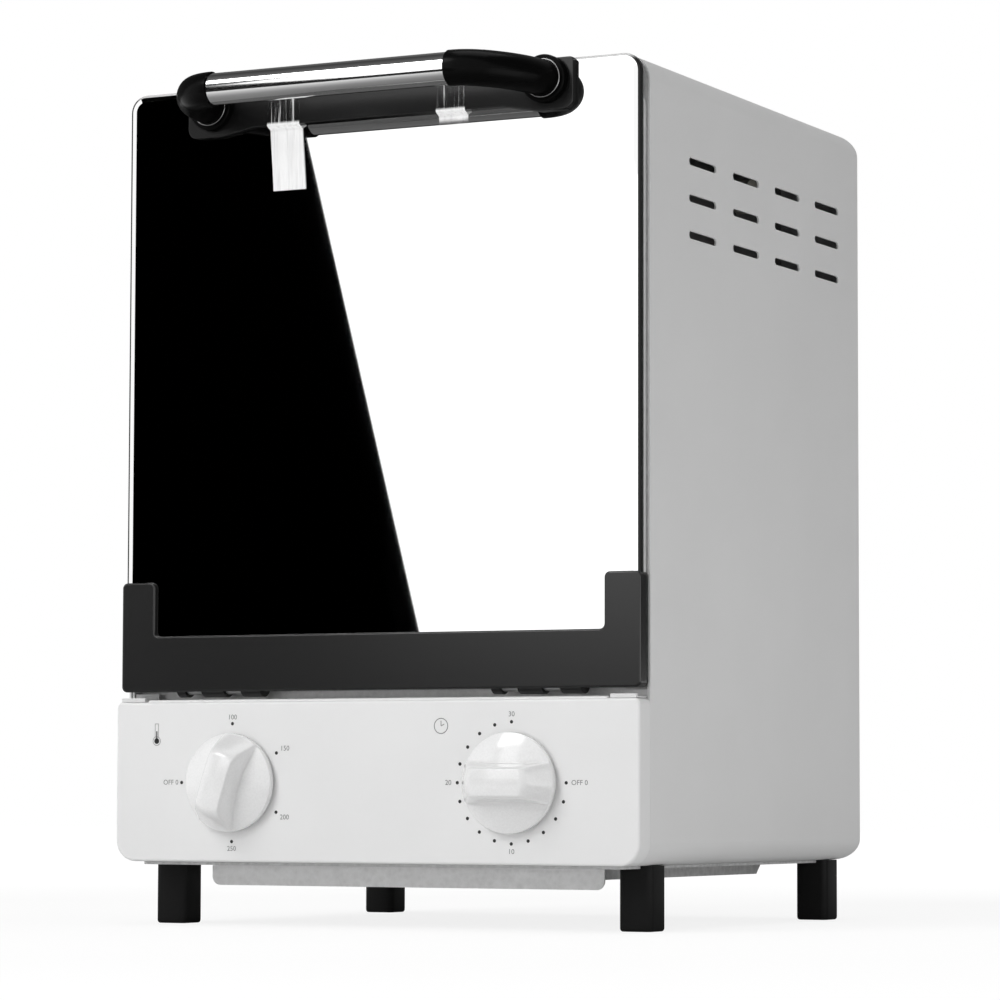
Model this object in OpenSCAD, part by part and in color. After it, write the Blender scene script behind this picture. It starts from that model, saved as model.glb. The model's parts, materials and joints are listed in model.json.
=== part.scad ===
// Dry heat sterilizer: a small upright oven with a drop-down mirror door.
// X is the width, Y runs from front to back, Z is up from the surface it stands on.
// Heights and depths below are counted from the casing's underside and from the
// control panel's face; at_body() puts them into the part's own frame.

/* [Casing] */
// Width of the casing
body_w = 230; // [215:1:260]
// Height of the casing, without the feet
body_h = 308; // [290:1:360]
// Depth from the control panel's face to the casing's back
body_d = 221; // [205:1:270]
// Thickness of the casing sheet
sheet_t = 0.8; // [0.6:0.1:1.2]
// Radius of the bends between the top and the sides
top_bend_r = 10; // [7:0.5:12]
// Radius of the bends between the bottom and the sides
bottom_bend_r = 8.5; // [6:0.5:10]
// Radius of the back corners, seen from the side
rear_corner_r = 9; // [6:0.5:12]
// Width of the rim folded in round the back opening
rear_rim_w = 12; // [9:1:16]
// Width of the rim folded in under the sides
bottom_rim_w = 20; // [18:1:24]

/* [Side vents] */
// Length of one vent slot
slot_l = 26; // [18:1:32]
// Height of one vent slot
slot_h = 3; // [2:0.5:5]
// Spacing of the slots along the depth
slot_pitch_y = 42.5; // [36:0.5:46]
// Spacing of the slot rows
slot_pitch_z = 14.4; // [10:0.2:20]
// Slots in a row
slot_cols = 4; // [2:1:4]
// Rows of slots
slot_rows = 3; // [1:1:4]
// Distance from the panel face to the first slot
slot_first_y = 45.6; // [36:0.2:50]
// Distance from the casing's top to the first row
slot_drop = 34.5; // [28:0.5:50]

/* [Control panel] */
// Height of the control panel
panel_h = 63; // [60:1:80]
// Depth of the folded edge behind the panel's face
panel_fold = 9.4; // [8:0.1:12]
// Thickness of the panel sheet
panel_t = 1; // [0.8:0.1:1.5]
// Radius of the panel's upper corners
panel_top_r = 2.5; // [2:0.5:6]
// Distance of the knobs from the middle
knob_x = 61.4; // [54:0.2:70]
// Height of the knobs
knob_z = 31.2; // [29:0.2:34]

/* [Knobs] */
// Diameter of a knob
knob_d = 38.6; // [32:0.2:44]
// Height of a knob in front of the panel
knob_h = 15; // [12:0.5:20]
// Height of the skirt round a knob
knob_skirt_h = 2.6; // [2:0.1:4]
// Height of the domed base in a knob's middle
knob_dome_h = 7.5; // [5:0.5:9]
// Half the width of the grip across a knob
grip_half_w = 5.2; // [4.6:0.2:7]
// Gap between a knob and the panel
knob_gap = 0.8; // [0.5:0.1:2]
// Turn of the temperature grip from upright
temperature_turn = 18; // [0:1:60]
// Diameter of the control shafts
shaft_d = 6; // [5:0.5:8]

/* [Door] */
// Gap between the panel's top and the door's lower edge
door_gap = 4.1; // [3.8:0.1:5]
// Distance of the door's edges from the casing's sides
door_side = 0.7; // [0.5:0.1:2]
// Distance of the bottom frame's face behind the panel's face
frame_face = 2.1; // [1.5:0.1:3]
// Depth of the bottom frame
frame_depth = 6.9; // [6.5:0.1:7.2]
// Wall of the bottom frame beside the glass
frame_wall = 0.8; // [0.6:0.1:1.2]
// Height of the bottom frame's middle
frame_mid_h = 22.1; // [20:0.1:30]
// Height of the frame's raised ends
frame_ear_h = 43.7; // [36:0.1:60]
// Width of the frame's raised ends
frame_ear_w = 15.2; // [12:0.2:20]
// Thickness of the glass
glass_t = 3.2; // [3:0.1:4]
// Distance of the glass face behind the panel's face
glass_face = 3.7; // [3.6:0.1:4]
// Corner radius of the glass
glass_corner_r = 7; // [4:0.5:10]
// Distance that the steel frame stops below the glass's top
steel_drop = 15.4; // [14:0.1:24]
// Width of the steel frame's strips
steel_w = 19; // [18:0.5:22]
// Thickness of the steel frame's sheet
steel_t = 0.8; // [0.6:0.1:1]

/* [Hinge] */
// Height of the hinge pin above the door's lower edge
pin_rise = 2.7; // [2.5:0.1:3.2]
// Distance of the hinge pin behind the panel's face
pin_y = 7; // [6.8:0.1:7.3]
// Diameter of the hinge pins
pin_d = 3; // [2.5:0.1:3.6]
// Radius of the door's knuckles
knuckle_r = 4.9; // [4.5:0.1:4.9]
// Distance of the hinges from the middle
hinge_x = 70; // [60:0.5:74]
// Half the length of one hinge
hinge_half = 19; // [17:0.5:20]

/* [Handle] */
// Height of the handle plate
plate_h = 20; // [18:0.5:24]
// Distance of the handle plate's ends from the casing's sides
plate_side = 29.5; // [25:0.5:36]
// Distance of the handle from the door's middle, to the right
handle_shift = 1; // [-3:0.5:3]
// Thickness of the handle plate
plate_t = 2.7; // [2:0.1:4]
// Width of the deeper pads at the plate's ends
pad_w = 15; // [12:1:20]
// Length of the slope from a pad to the plate's raised lower edge
pad_slope = 15; // [6:1:24]
// Amount that the plate's middle is cut up
plate_rise = 2.8; // [1:0.1:5]
// Distance of the bar in front of the panel's face
bar_out = 36; // [30:0.5:42]
// Height of the bar above the plate's lower edge
bar_rise = 11.8; // [10:0.2:14]
// Diameter of the chrome tube
bar_d = 12.5; // [10:0.5:13]
// Length of the tube that shows between the elbows
bar_l = 104; // [80:1:110]
// Diameter of the elbows
elbow_d = 14; // [13.5:0.5:16]
// Sideways reach of one elbow
elbow_reach = 22; // [20:0.5:26]
// Diameter of the collars on the plate
collar_d = 18.6; // [17:0.5:20]
// Length of the collars
collar_l = 3.4; // [2:0.2:6]

/* [Chamber] */
// Distance of the chamber from the casing's sides
cavity_side = 22; // [21:0.5:28]
// Distance of the chamber's roof below the casing's top
cavity_roof = 24; // [22:0.5:34]
// Distance of the chamber's back from the casing's back
cavity_rear = 33.8; // [30:0.2:50]
// Height of the chamber's floor
cavity_z = 84; // [83.5:0.1:86]
// Thickness of the chamber's sheet
liner_t = 0.6; // [0.5:0.1:1]
// Diameter of the heating rods
rod_d = 6.5; // [6:0.5:8]
// Distance of the heating rods from the floor and the roof
rod_inset = 12; // [10:0.5:16]
// Height of the lower shelf
shelf_low = 56; // [48:1:70]
// Height of the upper shelf
shelf_high = 122; // [112:1:140]

/* [Feet and crumb tray] */
// Height of the feet
foot_h = 25; // [18:0.5:40]
// Width of the square feet
foot_w = 14; // [12:0.5:18]
// Distance of the feet from the casing's sides
foot_side = 5.3; // [4:0.1:8]
// Distance of the front feet behind the panel's face
foot_front = 21.8; // [18:0.2:26]
// Distance of the back feet from the casing's back
foot_rear = 10.8; // [10:0.2:16]
// Width of the crumb tray's front
crumb_w = 174; // [150:1:178]
// Height of the crumb tray's front
crumb_front_h = 7.9; // [6:0.1:10]
// Distance of the crumb tray's front behind the panel's face
crumb_y = 29; // [26:0.5:36]
// Length of the crumb tray
crumb_l = 150; // [120:1:156]

/* [Hidden] */
$fn = 48;
eps = 0.01;
// General gaps: sliding, resting and turning
slide_gap = 0.3;
rest_gap = 0.1;
turn_gap = 0.06;
wire_d = 2.4;
sensor_d = 1.6;
// Furthest piece behind the casing's back, the cord grommet's flange
rear_out = 4;
reach = bar_out + elbow_d / 2;
front_y = reach - (reach + body_d + rear_out) / 2;
inner_half = body_w / 2 - sheet_t;
door_w = body_w - 2 * door_side;
plate_w = body_w - 2 * plate_side;
// Door levels
door_z = panel_h + door_gap;
pin_z = door_z + pin_rise;
glass_z = door_z + frame_mid_h - 6;
glass_w = door_w - 2 * (frame_wall + rest_gap);
glass_back = glass_face + glass_t;
door_back = frame_face + frame_depth;
steel_top = body_h - steel_drop;
steel_z = pin_z + knuckle_r + 1.3;
steel_win_w = glass_w - 2 * steel_w;
steel_low_w = 18;
seal_w = 3;
seal_t = 0.9;
// Hinge knuckles and ears: start and end of each, from one hinge's middle
door_knuckles = [[-hinge_half, -15.3], [-7.7, 2.5], [10.3, hinge_half]];
body_ears = [[-15, -8], [2.8, 10]];
ear_r = 3.8;
ear_web = 2.2;
// Front frame behind the door
wall_y = panel_fold + 0.9;
channel_y = 15.5;
channel_z = pin_z + 11.2;
frame_t = 0.8;
// Chamber
liner_y = wall_y + frame_t + rest_gap;
cavity_w = body_w - 2 * cavity_side;
cavity_h = body_h - cavity_z - cavity_roof;
cavity_d = body_d - liner_y - cavity_rear;
cavity_mid_z = cavity_z + cavity_h / 2;
liner_half = cavity_w / 2 + liner_t;
rod_low = cavity_z + rod_inset;
rod_high = cavity_z + cavity_h - rod_inset;
rod_front = liner_y + cavity_d * 0.28;
rod_rear = liner_y + cavity_d * 0.74;
insulator_l = 7;
rod_half = liner_half + insulator_l + 5;
runner_t = 0.8;
runner_w = 7;
runner_gap = 9;
rack_half = cavity_w / 2 - runner_t - 0.6;
rack_front = liner_y + 3;
rack_l = cavity_d - 14;
rack_rod = 4;
wire_rod = 2.4;
tray_depth = 18;
tray_t = 0.8;
shield_z = 71;
// Controls
bracket_y = panel_fold + 3.6;
bracket_t = 1;
control_y = bracket_y + bracket_t + rest_gap;
bushing_r = 4.6;
shaft_tip = knob_gap + 11;
bracket_half = body_w / 2 - 15;
timer_s = 46;
timer_l = 30;
bell_l = 12;
// Underside
plate_under = 1.1;
under_half = body_w / 2 - bottom_bend_r - 1.2;
rail_h = 4.4;
rail_t = 0.8;
rail_lip = 4;
crumb_t = 0.6;
foot_x = body_w / 2 - foot_side - foot_w / 2;
foot_y = [foot_front + foot_w / 2, body_d - foot_rear - foot_w / 2];
grommet_x = -(body_w / 2 - 37);
grommet_z = 30;
grommet_bore = 4;
terminal_back = 60;
terminal_d = 18;
grommet_r = 9;
back_y = body_d - sheet_t - rest_gap - sheet_t;
rear_slot_l = 44;
rear_slot_pitch = 11;
screw_r = 1.9;
head_r = 3.5;
head_h = 1.6;

// Placing

// Moves a piece from the casing's own levels into the part's frame
module at_body() translate([0, front_y, foot_h]) children();

// Places a piece of the handle
module at_handle() at_body() translate([handle_shift, 0, 0]) children();

// Extrudes an X-Z outline from y0 to y1
module along_y(y0, y1) translate([0, y1, 0]) rotate([90, 0, 0]) linear_extrude(y1 - y0) children();

// Extrudes a Y-Z outline from x0 to x1
module along_x(x0, x1) translate([x0, 0, 0]) rotate([90, 0, 90]) linear_extrude(x1 - x0) children();

// A round bar along Y
module rod_y(r, y0, y1) translate([0, y0, 0]) rotate([-90, 0, 0]) cylinder(h = y1 - y0, r = r);

// A round bar along X
module rod_x(r, x0, x1) translate([x0, 0, 0]) rotate([0, 90, 0]) cylinder(h = x1 - x0, r = r);

// A box between two corners
module block(lo, hi) translate(lo) cube(hi - lo);

module mirror_if(side) mirror([side < 0 ? 1 : 0, 0, 0]) children();

// Outlines

// Rounded rectangle that stands on the X axis, with its own radii at the top and the bottom
module standing_rect(w, h, rt, rb) {
  translate([-w / 2, rb]) square([w, h - rt - rb]);
  translate([-w / 2 + rt, h / 2]) square([w - 2 * rt, h / 2]);
  translate([-w / 2 + rb, 0]) square([w - 2 * rb, h / 2]);
  for (s = [-1, 1]) {
    translate([s * (w / 2 - rt), h - rt]) circle(r = rt);
    translate([s * (w / 2 - rb), rb]) circle(r = rb);
  }
}

// Rounded rectangle about the origin
module centred_rect(w, h, r) translate([0, -h / 2]) standing_rect(w, h, r, r);

// Slot with round ends about the origin, along X
module slot_outline(l, h) {
  square([l - h, h], center = true);
  for (s = [-1, 1]) translate([s * (l - h) / 2, 0]) circle(r = h / 2);
}

// Side view of the casing: square at the front and round at the back
module side_view(y0, y1, z0, z1, r) {
  translate([y0, z0]) square([y1 - r - y0, z1 - z0]);
  translate([y0, z0 + r]) square([y1 - y0, z1 - z0 - 2 * r]);
  for (z = [z0 + r, z1 - r]) translate([y1 - r, z]) circle(r = r);
}

// Casing

// The casing's solid shape, drawn in by t on every side
module casing_form(t, y0) {
  intersection() {
    along_y(y0, body_d - t) translate([0, t])
      standing_rect(body_w - 2 * t, body_h - 2 * t, top_bend_r - t, bottom_bend_r - t);
    along_x(-body_w, body_w) side_view(y0 - 1, body_d - t, t, body_h - t, rear_corner_r - t);
  }
}

// The vent slots through both sides
module side_vents() {
  for (row = [0 : slot_rows - 1], col = [0 : slot_cols - 1])
    along_x(-body_w, body_w)
      translate([slot_first_y + slot_l / 2 + col * slot_pitch_y,
                 body_h - slot_drop - slot_h / 2 - row * slot_pitch_z])
        slot_outline(slot_l, slot_h);
}

module casing() color("#E2E2E2") at_body() difference() {
  casing_form(0, panel_fold);
  casing_form(sheet_t, panel_fold - 1);
  side_vents();
  along_y(body_d - 2 * sheet_t, body_d + 1) translate([0, rear_rim_w])
    standing_rect(body_w - 2 * rear_rim_w, body_h - 2 * rear_rim_w, 4, 4);
  block([-body_w / 2 + bottom_rim_w, foot_y[0] - foot_w, -1],
        [body_w / 2 - bottom_rim_w, foot_y[1] - foot_w / 2, sheet_t + 1]);
  for (x = [-foot_x, foot_x], y = foot_y) translate([x, y, -1]) cylinder(h = 3, r = screw_r + 0.2);
  back_screw_places() rod_y(screw_r + 0.2, body_d - 3, body_d + 1);
}

// Places of the screws round the back opening
module back_screw_places()
  for (x = [-1, 1], z = [0.08, 0.5, 0.92])
    translate([x * (body_w / 2 - rear_rim_w / 2 - sheet_t), 0, body_h * z]) children();

module back_panel() color("#D5D5D5") at_body() difference() {
  along_y(back_y, back_y + sheet_t) translate([0, rear_corner_r + 1])
    standing_rect(2 * inner_half - 2 * slide_gap, body_h - 2 * rear_corner_r - 2, 2, 2);
  for (row = [0 : 5], s = [-1, 1])
    translate([s * 0.17 * body_w, 0, 0.62 * body_h + row * rear_slot_pitch])
      along_y(back_y - 1, body_d) slot_outline(rear_slot_l, slot_h);
  for (row = [0 : 2])
    translate([0.13 * body_w, 0, 0.4 * panel_h + row * rear_slot_pitch])
      along_y(back_y - 1, body_d) slot_outline(rear_slot_l, slot_h);
  translate([grommet_x, 0, grommet_z]) rod_y(grommet_r - 2 + rest_gap, back_y - 1, body_d);
  back_screw_places() rod_y(screw_r - 0.3, back_y - 1, body_d);
}

// Outline of one foot, with its gap
module foot_outline(gap) centred_rect(foot_w + 2 * gap, foot_w + 2 * gap, 2);

module base_plate() color("#BDBDBD") at_body() difference() {
  translate([0, 0, -plate_under - rest_gap]) linear_extrude(plate_under)
    translate([0, 4]) standing_rect(2 * under_half, body_d - rear_corner_r - 8, 3, 3);
  for (x = [-foot_x, foot_x], y = foot_y)
    translate([x, y, -plate_under - 1]) linear_extrude(plate_under + 2) foot_outline(slide_gap);
  for (row = [0 : 4])
    translate([0, body_d * 0.27 + row * body_d * 0.11, -plate_under - 1])
      linear_extrude(plate_under + 2) slot_outline(body_w * 0.39, 4);
}

// Control panel

module control_panel() color("#E4E4E4") at_body() difference() {
  along_y(0, panel_fold - rest_gap) standing_rect(body_w, panel_h, panel_top_r, bottom_bend_r);
  along_y(panel_t, panel_fold + 1) translate([0, panel_t])
    standing_rect(body_w - 2 * panel_t, panel_h - 2 * panel_t,
      panel_top_r - panel_t, bottom_bend_r - panel_t);
  for (s = [-1, 1]) translate([s * knob_x, 0, knob_z]) rod_y(bushing_r + slide_gap, -1, panel_t + 1);
}

module control_bracket() color("#B4B7BA") at_body() difference() {
  union() {
    block([-bracket_half, bracket_y, sheet_t + rest_gap], [bracket_half, bracket_y + bracket_t, panel_h - 2]);
    block([-bracket_half, bracket_y, sheet_t + rest_gap],
          [bracket_half, bracket_y + 7, sheet_t + rest_gap + bracket_t]);
  }
  for (s = [-1, 1]) translate([s * knob_x, 0, knob_z]) {
    rod_y(bushing_r + rest_gap, bracket_y - 1, control_y);
    for (a = [-1, 1]) translate([a * 14, 0, 0]) rod_y(1.6, bracket_y - 1, control_y);
  }
}

module control_screws() color("#A8A8A8") at_body()
  for (s = [-1, 1], a = [-1, 1]) translate([s * knob_x + a * 14, 0, knob_z]) {
    rod_y(1.4, bracket_y - 1, control_y + 4);
    rod_y(2.8, bracket_y - 1.8, bracket_y - rest_gap);
  }

module thermostat_body() color("#D9D2C0") at_body() translate([-knob_x, 0, knob_z]) difference() {
  union() {
    block([-19, control_y, -12], [19, control_y + 20, 12]);
    rod_y(bushing_r, 3, control_y + 1);
    translate([0, 0, 0]) rod_y(9, control_y + 19, control_y + 25);
  }
  rod_y(shaft_d / 2 + turn_gap, 0, control_y + 12);
  for (a = [-1, 1]) translate([a * 14, 0, 0]) rod_y(1.4 + turn_gap, control_y - 1, control_y + 5);
}

module control_shaft(s) at_body() translate([s * knob_x, 0, knob_z])
  rod_y(shaft_d / 2, -shaft_tip, control_y + 11);

module thermostat_shaft() color("#C9B26A") control_shaft(-1);
module timer_shaft() color("#C9B26A") control_shaft(1);

module timer_body() color("#B9BCBF") at_body() translate([knob_x, 0, knob_z]) difference() {
  union() {
    block([-timer_s / 2, control_y, -timer_s / 2], [timer_s / 2, control_y + timer_l, timer_s / 2]);
    rod_y(bushing_r, 3, control_y + 1);
    rod_y(3, control_y + timer_l - 1, control_y + timer_l + bell_l);
  }
  rod_y(shaft_d / 2 + turn_gap, 0, control_y + 12);
  for (a = [-1, 1]) translate([a * 14, 0, 0]) rod_y(1.4 + turn_gap, control_y - 1, control_y + 5);
}

module timer_bell() color("#C8CACC") at_body()
  translate([knob_x, control_y + timer_l + 1.5, knob_z]) rotate([-90, 0, 0]) difference() {
    rotate_extrude() polygon([[3.06, 7], [14, 7], [21, 0], [22, 0], [22, 1.2], [15, 8], [3.06, 8]]);
  }

// Outline of the grip's ends: flank, rounded shoulder and nearly flat crown
module knob_profile() {
  r = knob_d / 2;
  shoulder = 5;
  crown_r = r - 4;
  polygon(concat(
    [[0, 0], [r, 0], [r, knob_skirt_h]],
    [for (a = [0 : 15 : 90])
      [crown_r - shoulder + shoulder * cos(a), knob_h - 1 - shoulder + shoulder * sin(a)]],
    [[0, knob_h]]));
}

// Outline of the shallow dome behind the grip
module knob_dome() {
  r = knob_d / 2;
  rise = knob_dome_h - knob_skirt_h;
  polygon(concat([[0, 0], [r, 0]],
    [for (i = [0 : 6]) [r * (1 - i / 6), knob_skirt_h + rise * (1 - (1 - i / 6) * (1 - i / 6))]]));
}

module knob(turn) difference() {
  union() {
    rotate([90, 0, 0]) rotate_extrude() knob_dome();
    intersection() {
      rotate([90, 0, 0]) rotate_extrude() knob_profile();
      rotate([0, turn, 0]) block([-grip_half_w, -knob_h - 1, -knob_d], [grip_half_w, 0, knob_d]);
    }
  }
  rod_y(shaft_d / 2 + 0.03, -shaft_tip + knob_gap - 0.3, 1);
}

module temperature_knob() color("#F2F2F2") at_body()
  translate([-knob_x, -knob_gap, knob_z]) knob(temperature_turn);
module timer_knob() color("#F2F2F2") at_body()
  translate([knob_x, -knob_gap, knob_z]) knob(90);

// Front frame and chamber

module front_frame() color("#CFCFCF") at_body() {
  half = inner_half - rest_gap;
  top = body_h - sheet_t - rest_gap;
  difference() {
    along_y(wall_y, wall_y + frame_t) translate([0, channel_z])
      standing_rect(2 * half, top - channel_z, top_bend_r - sheet_t - rest_gap, 0.5);
    along_y(wall_y - 1, wall_y + 2) translate([0, cavity_z]) standing_rect(cavity_w, cavity_h, 3, 3);
  }
  block([-half, wall_y, channel_z], [half, channel_y + frame_t, channel_z + frame_t]);
  block([-half, channel_y, panel_h + rest_gap - frame_t], [half, channel_y + frame_t, channel_z + eps]);
  block([-half, panel_fold + rest_gap, panel_h - frame_t], [half, channel_y + frame_t, panel_h]);
  for (s = [-1, 1]) mirror_if(s)
    block([half - frame_t, wall_y, panel_h - frame_t], [half, channel_y + frame_t, channel_z + eps]);
}

module rod_places() for (y = [rod_front, rod_rear], z = [rod_low, rod_high]) translate([0, y, z]) children();

module cavity_liner() color("#C4C7C9") at_body() difference() {
  union() {
    along_y(liner_y, liner_y + cavity_d + liner_t) translate([0, cavity_z - liner_t])
      standing_rect(cavity_w + 2 * liner_t, cavity_h + 2 * liner_t, 3 + liner_t, 3 + liner_t);
    along_y(liner_y, liner_y + liner_t) translate([0, cavity_z - liner_t])
      standing_rect(cavity_w + 20, cavity_h + 12, 4, 0.5);
  }
  along_y(liner_y - 1, liner_y + cavity_d) translate([0, cavity_z]) standing_rect(cavity_w, cavity_h, 3, 3);
  rod_places() rod_x(rod_d / 2 + 1.5, -body_w, body_w);
  translate([-liner_half - 1, sensor_y, sensor_z]) rod_x(sensor_d / 2 + slide_gap, 0, 3);
}

module heat_shield() color("#B9BCBE") at_body() {
  half = inner_half - rest_gap;
  block([-half, channel_y + frame_t + 1, shield_z], [half, back_y - 6, shield_z + liner_t]);
  for (s = [-1, 1]) mirror_if(s)
    block([half - liner_t, channel_y + frame_t + 1, shield_z - 10], [half, back_y - 6, shield_z + eps]);
}

// One runner: a wall against the chamber's side, a shelf and an upper guide
module runner(z) {
  x1 = cavity_w / 2;
  y0 = liner_y + 2;
  y1 = liner_y + cavity_d - 6;
  block([x1 - runner_t, y0, z - runner_t], [x1, y1, z + runner_gap + runner_t]);
  block([x1 - runner_w, y0, z - runner_t], [x1 - runner_t + eps, y1, z]);
  block([x1 - runner_w, y0, z + runner_gap], [x1 - runner_t + eps, y1, z + runner_gap + runner_t]);
}

module tray_runners(s) color("#C9CBCD") at_body() mirror_if(s)
  for (z = [shelf_low, shelf_high]) translate([-rest_gap, 0, 0]) runner(cavity_z + z);
module tray_runner_left() tray_runners(-1);
module tray_runner_right() tray_runners(1);

module heating_rod(y, z) color("#A7A29A") at_body() translate([0, y, z]) {
  rod_x(rod_d / 2, -rod_half + 3, rod_half - 3);
  rod_x(1.5, -rod_half - 3, rod_half + 3);
}
module upper_heater_front() heating_rod(rod_front, rod_high);
module upper_heater_rear() heating_rod(rod_rear, rod_high);
module lower_heater_front() heating_rod(rod_front, rod_low);
module lower_heater_rear() heating_rod(rod_rear, rod_low);

module heater_insulators() color("#EFEBDD") at_body() rod_places()
  for (s = [-1, 1]) mirror_if(s) difference() {
    rod_x(7, liner_half + rest_gap, liner_half + insulator_l);
    rod_x(rod_d / 2 + turn_gap, liner_half - 1, liner_half + insulator_l + 1);
  }

// Shelves

// A closed loop of round bar with bent corners, lying flat about the origin
module rod_loop(w, l, r, bend) {
  for (s = [-1, 1]) {
    translate([s * w / 2, 0, 0]) rod_y(r, -l / 2 + bend, l / 2 - bend);
    translate([0, s * l / 2, 0]) rod_x(r, -w / 2 + bend, w / 2 - bend);
  }
  for (a = [0 : 3]) {
    sx = (a == 0 || a == 3) ? 1 : -1;
    sy = (a < 2) ? 1 : -1;
    translate([sx * (w / 2 - bend), sy * (l / 2 - bend), 0]) rotate([0, 0, a * 90])
      rotate_extrude(angle = 90) translate([bend, 0]) circle(r = r);
  }
}

module wire_rack() color("#C6C9CC") at_body()
  translate([0, rack_front + rack_l / 2, cavity_z + shelf_low + slide_gap + rack_rod / 2]) {
    w = 2 * rack_half - rack_rod;
    l = rack_l - rack_rod;
    rod_loop(w, l, rack_rod / 2, 10);
    for (i = [-5 : 5]) translate([i * w / 12, 0, 0.6]) rod_y(wire_rod / 2, -l / 2, l / 2);
    for (y = [-1, 1]) translate([0, y * l / 5, -0.9]) rod_x(wire_rod / 2, -w / 2, w / 2);
  }

module instrument_tray() color("#CDD0D2") at_body()
  translate([0, rack_front, cavity_z + shelf_high + slide_gap]) difference() {
    body_half = cavity_w / 2 - runner_w - 1.2;
    union() {
      translate([0, rack_l / 2, 5 - tray_depth])
        linear_extrude(tray_depth - 5 + tray_t) centred_rect(2 * body_half, rack_l, 5);
      linear_extrude(tray_t) translate([0, rack_l / 2]) centred_rect(2 * rack_half, rack_l, 2);
    }
    translate([0, rack_l / 2, 5 - tray_depth + tray_t])
      linear_extrude(tray_depth) centred_rect(2 * (body_half - tray_t), rack_l - 2 * tray_t, 4);
    for (i = [-5 : 5], j = [0 : 7])
      translate([i * 14, 22 + j * (rack_l - 44) / 7, -tray_depth]) cylinder(h = tray_depth, r = 2.2);
  }

// Wires and tubes

// A thin straight rod between two points
module straight(p, q, d) {
  v = q - p;
  translate(p) rotate([0, acos(v[2] / norm(v)), atan2(v[1], v[0])]) cylinder(h = norm(v), r = d / 2);
}

sensor_y = liner_y + cavity_d - 22;
sensor_z = rod_high - 14;
gap_x = (liner_half + inner_half) / 2 + 4;

module sensor_tube() color("#B98A5A") at_body() {
  straight([-knob_x - 19 - slide_gap - sensor_d / 2, control_y + 10, knob_z + 4],
    [-gap_x + 9, control_y + 40, shield_z - 4], sensor_d);
  straight([-gap_x, sensor_y, shield_z + 4], [-gap_x, sensor_y, sensor_z + sensor_d], sensor_d);
  translate([0, sensor_y, sensor_z]) {
    rod_x(sensor_d / 2 - 0.1, -gap_x, -cavity_w / 2 + 31);
    rod_x(3, -cavity_w / 2 + 30, -cavity_w / 2 + 110);
  }
}

module terminal_block() color("#E8E4D8") at_body()
  translate([grommet_x, body_d - terminal_back, 0]) difference() {
    block([-16, -terminal_d / 2, 0], [16, terminal_d / 2, 13]);
    for (i = [-1 : 1], y = [-5, 5]) translate([i * 10, y, 5]) cylinder(h = 9, r = 2.2);
    for (i = [-1 : 1]) translate([i * 10, 0, 5]) rod_y(1.6, -10, 10);
  }

module thermal_cutout() color("#3A3A3C") at_body()
  translate([40, liner_y + cavity_d + liner_t + rest_gap, cavity_mid_z]) {
    rod_y(8, 0, 7);
    block([-14, 0, -5], [14, 1, 5]);
    for (s = [-1, 1]) translate([s * 4, 7, -2]) cube([1, 5, 4]);
  }

module wiring() color("#C43C2E") at_body() {
  block_y = body_d - terminal_back;
  z = 5;
  end_y = control_y + 20;
  end_gap = terminal_d / 2 + slide_gap;
  heat_x = -knob_x - 13.5;
  clock_x = knob_x - timer_s / 2 - slide_gap - wire_d;
  straight([grommet_x, body_d - 12, grommet_z], [grommet_x, block_y + end_gap + 0.6, z + 3], wire_d);
  straight([grommet_x + 10, block_y - end_gap - 0.6, z], [clock_x, end_y, 14], wire_d);
  straight([grommet_x - 10, block_y - end_gap - 0.6, z], [heat_x, end_y + 0.8, 24], wire_d);
  for (y = [rod_front, rod_rear]) translate([rod_half + 1, y, rod_low + 1.5 + slide_gap])
    cylinder(h = rod_high - rod_low - 3 - 2 * slide_gap, r = wire_d / 2);
}

module cord_grommet() color("#1C1C1E") at_body() translate([grommet_x, 0, grommet_z]) difference() {
  union() {
    rod_y(grommet_r, body_d - sheet_t, body_d + rear_out);
    rod_y(grommet_r - 2, back_y - 5, body_d);
    rod_y(grommet_r, back_y - 5, back_y - rest_gap);
  }
  rod_y(grommet_bore, back_y - 6, body_d + rear_out + 1);
}

module casing_screws() color("#A6A6A6") at_body() back_screw_places() {
  rod_y(screw_r - 0.4, back_y - 5, body_d + 0.5);
  rod_y(head_r, body_d + rest_gap, body_d + head_h);
}

// Hinge

module hinge_bracket(s) color("#6F7274") at_body() translate([s * hinge_x, 0, 0]) {
  difference() {
    union() {
      block([-hinge_half, channel_y - 1.3, pin_z - ear_web], [hinge_half, channel_y - rest_gap, pin_z + 7]);
      for (e = body_ears) {
        translate([0, pin_y, pin_z]) rod_x(ear_r, e[0], e[1]);
        block([e[0], pin_y, pin_z - ear_web], [e[1], channel_y - 1, pin_z + ear_web]);
      }
    }
    translate([0, pin_y, pin_z]) rod_x(pin_d / 2 + 0.02, -hinge_half - 1, hinge_half + 1);
  }
}
module hinge_bracket_left() hinge_bracket(-1);
module hinge_bracket_right() hinge_bracket(1);

module hinge_pin(s) color("#B5B7B9") at_body() translate([s * hinge_x, pin_y, pin_z])
  rod_x(pin_d / 2, -hinge_half, hinge_half);
module hinge_pin_left() hinge_pin(-1);
module hinge_pin_right() hinge_pin(1);

// Bright stop bracket on the panel's top edge: foot, front lip under the open door, upright
module door_stop(s) color("#D0D2D4") at_body() mirror_if(s) {
  x0 = body_w / 2 - 12.6;
  x1 = inner_half - frame_t - 2 * rest_gap;
  z0 = panel_h + rest_gap;
  lip = pin_z - (pin_y - frame_face) - 0.25;
  block([x0, 0.8, z0], [x1, channel_y - 1.4, z0 + 0.7]);
  block([x0, 0.8, z0], [x1, 2.4, lip]);
  block([x0, 11.4, z0], [x1, 12.4, z0 + 3.4]);
}
module door_stop_left() door_stop(-1);
module door_stop_right() door_stop(1);

// Door

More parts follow.
